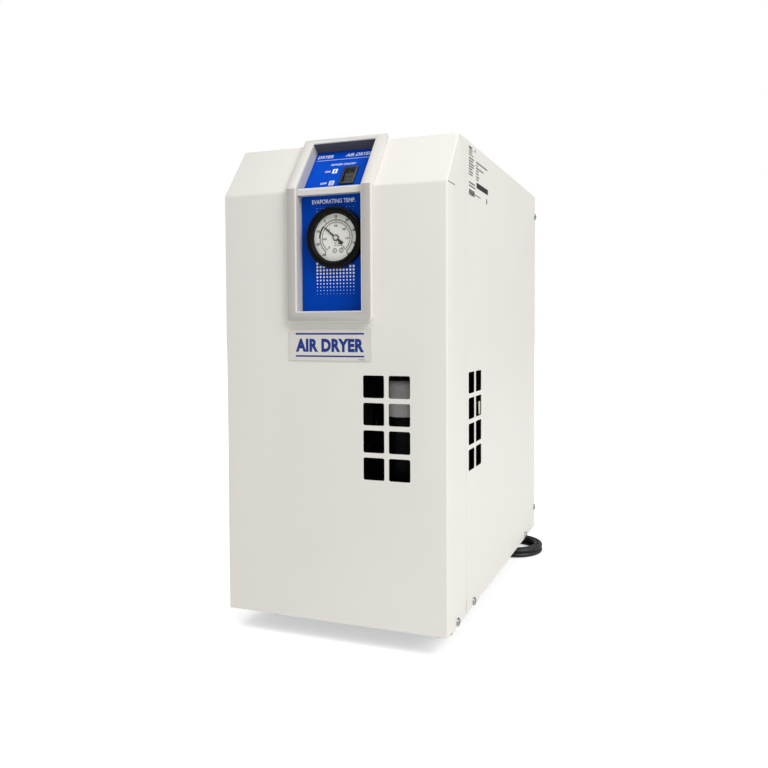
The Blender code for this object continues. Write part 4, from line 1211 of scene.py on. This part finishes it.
ROCKER_TILT = math.radians(8)
rocker_turn = Matrix.Rotation(ROCKER_TILT, 3, "X")
pivot = Vector((SWITCH_X, *on_slope(SWITCH_ALONG, -0.0086)))
half_outline = [(0.0008, 0.0004), (0.0030, 0.0002), (0.0060, 0.0008), (0.0093, 0.0020), (0.0102, 0.0021)]
half_outline += [(0.0103, 0.0010)]
outline = [(-0.0100, -0.0030), (0.0100, -0.0030), *reversed(half_outline), (0, 0.0006)]
outline += [(-along, out) for along, out in half_outline]
key_outline = []
for along, out in outline:
    spot = pivot + rocker_turn @ (UP_SLOPE * along + OUT_OF_SLOPE * out)
    key_outline.append((spot.y, spot.z))
key = drawn_out(key_outline, "X", SWITCH_X - 0.0060, SWITCH_X + 0.0060)
rocker = fit("rocker_key", key, switch_black, ["switch_rocker"], body="rocker")
eased(rocker, 0.0003)
SIGN_ALONG = 0.0062
signs = []
for way, sign in ((1, bar(-0.00035, 0.00035, -0.0016, 0.0016)), (-1, arc_band(0.0010, 0.0016, 0, ROUND, 24))):
    slant = Matrix.Rotation(math.radians(17 * way), 4, "X")
    stand = Matrix.Translation((0, SIGN_ALONG * way, 0.0010)) @ slant
    bmesh.ops.transform(sign, matrix=stand, verts=sign.verts)
    signs.append(sign)
on_key = laid_on(pivot, Vector((1, 0, 0)), rocker_turn @ UP_SLOPE, rocker_turn @ OUT_OF_SLOPE)
sign_grey = finish("sign_grey", (86, 87, 88), 0.5, clouds=0.1, cloud=0.001, grain=0.0003, bump=0.1)
printed("rocker_signs", signs, on_key, sign_grey, body="rocker")


# ---------------------------------------------------------------- Name plate and data print
# A thin silvered plastic label under the bezel, with the machine's kind between two blue rules. The block
# of small dark print on the right side stands for the data table there, and dark words name the connections
# at the back.

label_silver = finish(
    "silvered_label", (230, 226, 220), 0.40, clouds=0.05, cloud=0.02, grain=0.0006, bump=0.1, Metallic=0.15
)
label_blue = finish("label_blue_print", (6, 48, 136), 0.4, clouds=0.08, cloud=0.004, grain=0.0004, bump=0.1)
grey_print = finish("grey_print", (26, 28, 32), 0.5, clouds=0.25, cloud=0.002, grain=0.0004, bump=0.1)

LABEL_WIDTH, LABEL_HEIGHT, LABEL_THICKNESS = 0.1004, 0.0349, 0.0006
LABEL_X, LABEL_Z = -0.0013, 0.33625
plate = drawn_out(round_square(0, 0, LABEL_HEIGHT, 0.0012, 3), "Z", 0, LABEL_THICKNESS)
bmesh.ops.scale(plate, vec=(LABEL_WIDTH / LABEL_HEIGHT, 1, 1), verts=plate.verts)
bmesh.ops.transform(plate, matrix=on_upright(LABEL_X, LABEL_Z, GAP), verts=plate.verts)
fit("name_label", plate, label_silver, ["name_plate"])
rules = [
    moved(lettering("AIR DRYER", 0.0148, weight=0.055, width=0.0836, gap=1.06), 0, -0.0004),
    bar(-0.0420, 0.0418, 0.0114, 0.0133),
    bar(-0.0420, 0.0418, -0.0134, -0.0116),
    bar(0.0345, 0.0430, -0.0163, -0.0158),
]
printed("name_print", rules, on_upright(LABEL_X, LABEL_Z, GAP + LABEL_THICKNESS), label_blue)

LINES_LEFT, VALUES_LEFT = -0.1585, -0.1270
print_lines = [
    (0.5612, LINES_LEFT, -0.1440, 0.0016),
    (0.5582, LINES_LEFT, -0.1400, 0.0008),
    (0.5556, LINES_LEFT, -0.1430, 0.0008),
    (0.5530, LINES_LEFT, -0.1390, 0.0008),
]
for row, right in enumerate((-0.1360, -0.1395, -0.1350, -0.1380, -0.1420, -0.1400, -0.1425)):
    print_lines.append((0.5492 - 0.0031 * row, LINES_LEFT, right, 0.0010))
print_lines += [
    (0.5212, LINES_LEFT, -0.1330, 0.0011),
    (0.5176, LINES_LEFT, -0.1310, 0.0010),
    (0.5104, -0.1414, -0.1076, 0.0007),
]
for z, right, thick in (
    (0.5497, -0.0745, 0.0011),
    (0.5463, -0.1170, 0.0009),
    (0.5430, -0.0930, 0.0011),
    (0.5396, -0.1140, 0.0010),
    (0.5363, -0.1150, 0.0010),
    (0.5330, -0.1130, 0.0010),
    (0.5298, -0.1150, 0.0010),
):
    print_lines.append((z, VALUES_LEFT, right, thick))


def words_in_line(z, left, right, thick):
    """Dark bars of uneven length with narrow spaces, along a line of the table."""
    words = []
    while left < right - 0.002:
        long = 0.0048 + 0.0021 * math.sin(z * 9000 + len(words) * 2.7)
        words.append(bar(left, min(right, left + long), z - 0.8 * thick, z + 0.8 * thick))
        left = min(right, left + long) + 0.0007
    return words


table = []
for line in print_lines:
    table += words_in_line(*line)
for row in range(6):
    for column in range(12):
        if (row * 5 + column * 3 + row * column) % 4:
            x, z = LINES_LEFT + 0.0020 * column, 0.5070 + 0.0011 * row
            table.append(bar(x, x + 0.0019, z, z + 0.0010))
table.append(bar(-0.1250, -0.0705, 0.5196, 0.5262))
table.append(bar(-0.0788, -0.0745, 0.5080, 0.5140))
table.append(moved(arc_band(0.0006, 0.0019, 0, ROUND, 20), -0.1318, 0.5612))
printed("data_print", table, stood_up((HALF_WIDTH, CABINET_MIDDLE_Y, 0), 90), grey_print)

captions = []
for words, height, x, z in (
    ("AIR IN", 0.0065, 0.070, 0.4635),
    ("AIR OUT", 0.0065, -0.020, 0.4635),
    ("DRAIN", 0.0050, -DRAIN_OUT_X, 0.0880),
    ("POWER", 0.0050, -GLAND.x, 0.1180),
):
    captions.append(moved(lettering(words, height, weight=0.01), x, z))
printed("connection_print", captions, stood_up((0, REAR_Y, 0), 180), grey_print)


# ---------------------------------------------------------------- Refrigeration set
# A hermetic compressor in glossy black paint on rubber grommets, an aluminium-finned condenser, and a heat
# exchanger wrapped in black foam on a zinc-plated stand. Bare copper pipes join them.

compressor_black = finish(
    "compressor_enamel", (20, 20, 22), 0.28, clouds=0.3, cloud=0.02, grain=0.002, bump=0.2, dust=0.35
)
black_plastic = finish(
    "black_plastic", (22, 22, 23), 0.45, clouds=0.3, cloud=0.008, grain=0.0006, bump=0.25, dust=0.2
)
black_foam = finish(
    "insulating_foam", (38, 38, 40), 0.95, clouds=0.5, cloud=0.006, grain=0.0012, bump=0.9, depth=0.0006
)
bare_copper = finish(
    "bare_copper", (150, 96, 70), 0.42, clouds=0.5, cloud=0.012, grain=0.0008, bump=0.1, spread=0.3,
    Metallic=1.0,
)
cast_aluminium = finish(
    "cast_aluminium", (214, 210, 208), 0.60, clouds=0.2, cloud=0.006, grain=0.0007, bump=0.5, dust=0.1,
    Metallic=0.15,
)
fin_stack = finish(
    "aluminium_fins", (190, 192, 194), 0.35, clouds=0.3, cloud=0.02, grain=0.001, bump=0.2, Metallic=1.0
)
nodes, links = fin_stack.node_tree.nodes, fin_stack.node_tree.links
place = new_node(nodes, "TexCoord")
fins = new_node(nodes, "TexWave", {"Scale": 160}, bands_direction="X")
fin_relief = new_node(nodes, "Bump", {"Strength": 1.0, "Distance": 0.002})
join(
    links,
    (place.outputs["Object"], fins.inputs["Vector"]),
    (fins.outputs["Fac"], fin_relief.inputs["Height"]),
    (nodes["relief"].outputs["Normal"], fin_relief.inputs["Normal"]),
    (fin_relief.outputs["Normal"], nodes["Principled BSDF"].inputs["Normal"]),
)

reskin("compressor_shell", compressor_black)
reskin("compressor_terminal_cover", black_plastic)
for number in (1, 2, 3):
    reskin(f"compressor_grommet_{number}", foot_rubber)
reskin("condenser_coil", fin_stack)
reskin("heat_exchanger", black_foam)
reskin("exchanger_stand", zinc_sheet)
reskin("suction_pipe", black_foam)
for name in ("discharge_pipe", "bypass_pipe", "liquid_pipe", "capillary_tube", "filter_drier"):
    reskin(name, bare_copper)


# ---------------------------------------------------------------- Fan
# A zinc-plated shroud with a rolled mouth, a black moulded fan with five twisted blades, and its shaded-
# pole motor on a flat steel arm.

FAN_FRONT_Y = FRONT_Y + 0.421
FAN_BLADES = 5
fan_black = finish(
    "fan_black_plastic", (20, 20, 21), 0.38, clouds=0.3, cloud=0.02, grain=0.0008, bump=0.2, dust=0.3
)
reskin("fan_shroud", zinc_sheet)
reskin("fan_motor", compressor_black)
hub = [(0, 0.0004), (0.0150, 0), (0.0172, 0.0012), (0.0180, 0.0035), (0.0180, 0.0157), (0.0172, 0.0162)]
hub += [(0.0036, 0.0162), (0.0036, 0.0042), (0, 0.0042)]
rotor = [turned(hub, (FAN_X, FAN_FRONT_Y, FAN_Z), (0, 1, 0), 40)]
for number in range(FAN_BLADES):
    blade = bmesh.new()
    bmesh.ops.create_grid(blade, x_segments=10, y_segments=8, size=1)
    for vert in blade.verts:
        out, chord = (vert.co.x + 1) / 2, vert.co.y
        radius = 0.0172 + 0.0470 * out
        pitch = math.radians(40 - 16 * out)
        width = 0.0155 + 0.0045 * math.sin(math.pi * min(1, out * 0.9))
        sweep = chord * width + 0.004 * out
        camber = 0.0016 * (1 - chord * chord)
        flat = sweep * math.cos(pitch) - camber * math.sin(pitch)
        angle = flat / radius
        back = 0.0072 + sweep * math.sin(pitch) * 0.62 + camber
        vert.co = (radius * math.cos(angle), back, radius * math.sin(angle))
    bmesh.ops.recalc_face_normals(blade, faces=blade.faces)
    bmesh.ops.solidify(blade, geom=blade.faces, thickness=0.0013)
    turn = Matrix.Rotation(math.tau * number / FAN_BLADES, 4, "Y")
    on_hub = Matrix.Translation((FAN_X, FAN_FRONT_Y, FAN_Z)) @ turn
    bmesh.ops.transform(blade, matrix=on_hub, verts=blade.verts)
    bmesh.ops.recalc_face_normals(blade, faces=blade.faces)
    rotor.append(blade)
fit("fan_rotor", together(rotor), fan_black, ["fan_blades"], body="fan")


# ---------------------------------------------------------------- Air ports
# The two half-inch connections at the back are turned brass with a hexagon to hold them by, a chamfered
# mouth and a pipe thread inside. A steel ring closes each hole in the rear panel.

port_brass = finish(
    "turned_brass", (206, 176, 112), 0.26, clouds=0.25, cloud=0.01, grain=0.0006, bump=0.1, spread=0.25,
    Metallic=1.0,
)
port_ring_steel = finish(
    "port_ring_steel", (178, 180, 182), 0.35, clouds=0.2, cloud=0.006, grain=0.0005, bump=0.1, Metallic=1.0
)
PORT_START, PORT_END = FRONT_Y + 0.3503, REAR_Y + 0.030
PORT_RADIUS, HEXAGON_RADIUS = 0.0150, 0.0190
THREADS, THREAD_PITCH = 8, 0.0018


def on_port(x, profile):
    """A closed profile of (radius, distance behind the rear panel), turned round a port."""
    return turned(profile, (x, REAR_Y, PORT_Z), (0, 1, 0), 64, closed=True)


for name, x in PORT_PLACES.items():
    reach = PORT_END - PORT_START
    profile = [(0, 0), (0.011, 0), (0.011, 0.100), (0.0160, 0.1005), (0.0165, 0.101)]
    profile += [(0.0165, reach - 0.0245), (PORT_RADIUS, reach - 0.0242), (PORT_RADIUS, reach - 0.0002)]
    profile += [(0.0146, reach), (0.0110, reach), (0.0101, reach - 0.0010)]
    for groove in range(THREADS):
        at = reach - 0.0014 - THREAD_PITCH * groove
        profile += [(0.0098, at), (0.0092, at - THREAD_PITCH / 2)]
    profile += [(0.0092, reach - 0.0165), (0, reach - 0.0180)]
    port = turned(profile, (x, PORT_START, PORT_Z), (0, 1, 0), 64)
    fit(name + "_turned", port, port_brass, [name])
    hexagon = []
    for corner in range(6):
        angle = math.radians(60 * corner + 30)
        hexagon.append((x + HEXAGON_RADIUS * math.cos(angle), PORT_Z + HEXAGON_RADIUS * math.sin(angle)))
    nut = drawn_out(hexagon, "Y", REAR_Y + 0.0065, REAR_Y + 0.0245)
    nut = fit(name + "_hexagon", nut, port_brass)
    bore = [(0, -0.01), (0.0151, -0.01), (0.0151, 0.05), (0, 0.05)]
    carve(nut, turned(bore, (x, REAR_Y, PORT_Z), (0, 1, 0), 64))
    carve(nut, on_port(x, [(0.0171, 0.0060), (0.0240, 0.0100), (0.0240, 0.0040), (0.0171, 0.0040)]))
    carve(nut, on_port(x, [(0.0171, 0.0250), (0.0240, 0.0270), (0.0240, 0.0210)]))
    eased(nut, EASED_SHEET)
    ring = [(0.0168, 0.0002), (0.0222, 0.0002), (0.0225, 0.0005), (0.0225, 0.0012), (0.0220, 0.0016)]
    ring += [(0.0168, 0.0016)]
    fit(name + "_ring", on_port(x, ring), port_ring_steel)


# ---------------------------------------------------------------- Automatic drain
# A cast aluminium head with a smoky plastic bowl, made near black as painted shade, a white float in it and a
# black drain cock below. A nylon tube takes the water to the barbed outlet at the back.

# Smoky plastic for the bowl, darkened near black as painted shade so it reads as the dark inside through the
# vents.
smoky_bowl_and_painted_shade = finish(
    "smoky_bowl_and_painted_shade", (8, 8, 9), 0.5, clouds=0.2, cloud=0.01, grain=0.0008, bump=0.1, dust=0.02,
    Specular_IOR_Level=0.12,
)
white_plastic = finish(
    "white_plastic", (222, 221, 214), 0.4, clouds=0.06, cloud=0.01, grain=0.0006, bump=0.15
)
nylon_tube = finish("nylon_tube", (206, 208, 204), 0.3, clouds=0.06, cloud=0.02, grain=0.0008, bump=0.1)
DRAIN_X, DRAIN_Y = 0.072, FRONT_Y + 0.0465
profile = [(0, 0.258), (0.0203, 0.258), (0.0203, 0.2556), (0.0215, 0.2556), (0.0220, 0.2561)]
profile += [(0.0220, 0.2890), (0.0216, 0.2920), (0.0200, 0.2952), (0.0188, 0.296), (0, 0.296)]
head = turned(profile, (DRAIN_X, DRAIN_Y, 0), (0, 0, 1), 48)
fit("drain_head_cast", head, cast_aluminium, ["drain_head"])
reskin("drain_bowl", smoky_bowl_and_painted_shade)
reskin("drain_float", white_plastic)
reskin("drain_cock", black_plastic)
reskin("drain_feed_pipe", black_foam)
reskin("drain_tube", nylon_tube)
profile = [(0, 0.0), (0.0065, 0.0), (0.0065, 0.0142), (0.0098, 0.0142), (0.0100, 0.0146), (0.0100, 0.0185)]
profile += [(0.0094, 0.0192), (0.0050, 0.0195), (0.0038, 0.0205), (0.0047, 0.0225), (0.0038, 0.0255)]
profile += [(0.0046, 0.0272), (0.0036, 0.0305), (0.0044, 0.0318), (0.0034, 0.0338), (0.0026, 0.0340)]
profile += [(0.0022, 0.0330), (0.0022, 0.0150), (0, 0.0150)]
outlet = turned(profile, (DRAIN_OUT_X, REAR_Y - 0.014, DRAIN_OUT_Z), (0, 1, 0), 40)
fit("drain_barb", outlet, black_plastic, ["drain_outlet"])


# ---------------------------------------------------------------- Electrics and valve
# A zinc-plated box behind the hood holds the run capacitor in its aluminium can. The hot-gas valve is
# brass. A white nylon clip is pushed on the far edge of a side vent.

reskin("electrical_box", zinc_sheet)
reskin("run_capacitor", cast_aluminium)
reskin("hot_gas_valve", port_brass)
clip = rounded(block((inner - 0.0015, -0.1196, 0.2490), (inner - 0.0001, -0.1105, 0.2650)), 0.0003, 1)
fit("edge_clip", clip, white_plastic)


# ---------------------------------------------------------------- Lead's fittings
# The lead leaves through a black nylon gland with a ribbed, tapered strain relief. Its plug is moulded on,
# with a waisted grip, a ribbed neck and two folded brass blades. A black twist of tie holds the coil.

lead_rubber = finish(
    "lead_rubber", (24, 24, 26), 0.42, clouds=0.25, cloud=0.01, grain=0.0006, bump=0.2, depth=0.0001, dust=0.1
)
blade_brass = finish(
    "blade_brass", (214, 190, 130), 0.25, clouds=0.15, cloud=0.004, grain=0.0004, bump=0.1, Metallic=1.0
)
lead_curve.materials.append(lead_rubber)

profile = [(0, 0), (0.012, 0), (0.012, 0.0105), (0.0081, 0.0105), (0.0081, 0.0125), (0.0112, 0.0125)]
profile += [(0.0116, 0.0130), (0.0116, 0.0172), (0.0110, 0.0182), (0.0082, 0.0186)]
for rib in range(5):
    at, radius = 0.0192 + 0.0034 * rib, 0.0078 - 0.00055 * rib
    profile += [(radius, at), (radius, at + 0.0014), (radius - 0.0011, at + 0.0018)]
    profile += [(radius - 0.0011, at + 0.0030)]
profile += [(0.0050, 0.0368), (0.0047, 0.0398), (0.0040, 0.0400), (0.0034, 0.0396), (0, 0.038)]
gland = turned(profile, (GLAND.x, REAR_Y - 0.012, GLAND.z), (0, 1, 0), 48)
gland = fit("ribbed_gland", gland, black_plastic, ["cable_gland"])

PLUG = Vector((WINDING_CENTRE.x - 0.2047, WINDING_CENTRE.y + 0.139, 0.0082))
profile = [(0, 0), (0.0038, 0), (0.0044, 0.0004)]
for rib in range(4):
    at, radius = 0.0012 + 0.0032 * rib, 0.0046 + 0.00022 * rib
    profile += [(radius, at), (radius, at + 0.0016), (radius - 0.0008, at + 0.0020)]
    profile += [(radius - 0.0008, at + 0.0028)]
profile += [(0.0056, 0.0142), (0.0070, 0.0160), (0.0079, 0.0190), (0.0080, 0.0230), (0.0074, 0.0270)]
profile += [(0.0074, 0.0310), (0.0080, 0.0350), (0.0081, 0.0385), (0.0077, 0.0400), (0, 0.0400)]
grip = turned(profile, PLUG, (-1, 0, 0), 48)
plug = fit("moulded_plug", grip, lead_rubber, ["power_plug"])
blade_shapes = []
for y in (PLUG.y - 0.0052, PLUG.y + 0.0052):
    blade_tip = (PLUG.x - 0.0560, y - 0.00075, PLUG.z - 0.003)
    blade = block(blade_tip, (PLUG.x - 0.0385, y + 0.00075, PLUG.z + 0.003))
    blade_shapes.append(rounded(blade, 0.0006, 2, lambda e: max(v.co.x for v in e.verts) < PLUG.x - 0.05))
blades = fit("plug_blades", together(blade_shapes), blade_brass)
eye = Vector((PLUG.x - 0.0520, PLUG.y, PLUG.z))
carve(blades, rod(0.0012, eye - Vector((0, 0.01, 0)), eye + Vector((0, 0.01, 0)), 20))

tie_angle = math.radians(262)
tie_radial = Vector((math.cos(tie_angle), math.sin(tie_angle), 0))
tie_middle = WINDING_CENTRE + tie_radial * WINDING_RADIUS + Vector((0, 0, lie + WINDING_PITCH / 2))
reach = WINDING_PITCH / 2 + LEAD_THICKNESS / 2
strap = drawn_out(round_square(0, 0, 2 * reach + 0.0008, 0.0038, 6), "Z", -0.0012, 0.0012)
held = drawn_out(round_square(0, 0, 2 * reach + 0.0001, 0.0034, 6), "Z", -0.01, 0.01)
straight_up = Vector((0, 0, 1))
for shape in (strap, held):
    stand = laid_on(tie_middle, tie_radial, straight_up, tie_radial.cross(straight_up))
    bmesh.ops.transform(shape, matrix=stand, verts=shape.verts)
tie = fit("coil_tie", strap, black_plastic)
carve(tie, held)


# ---------------------------------------------------------------- Finished
# The bounds of all that is shown, the floor left out, are worked out.

low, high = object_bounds()
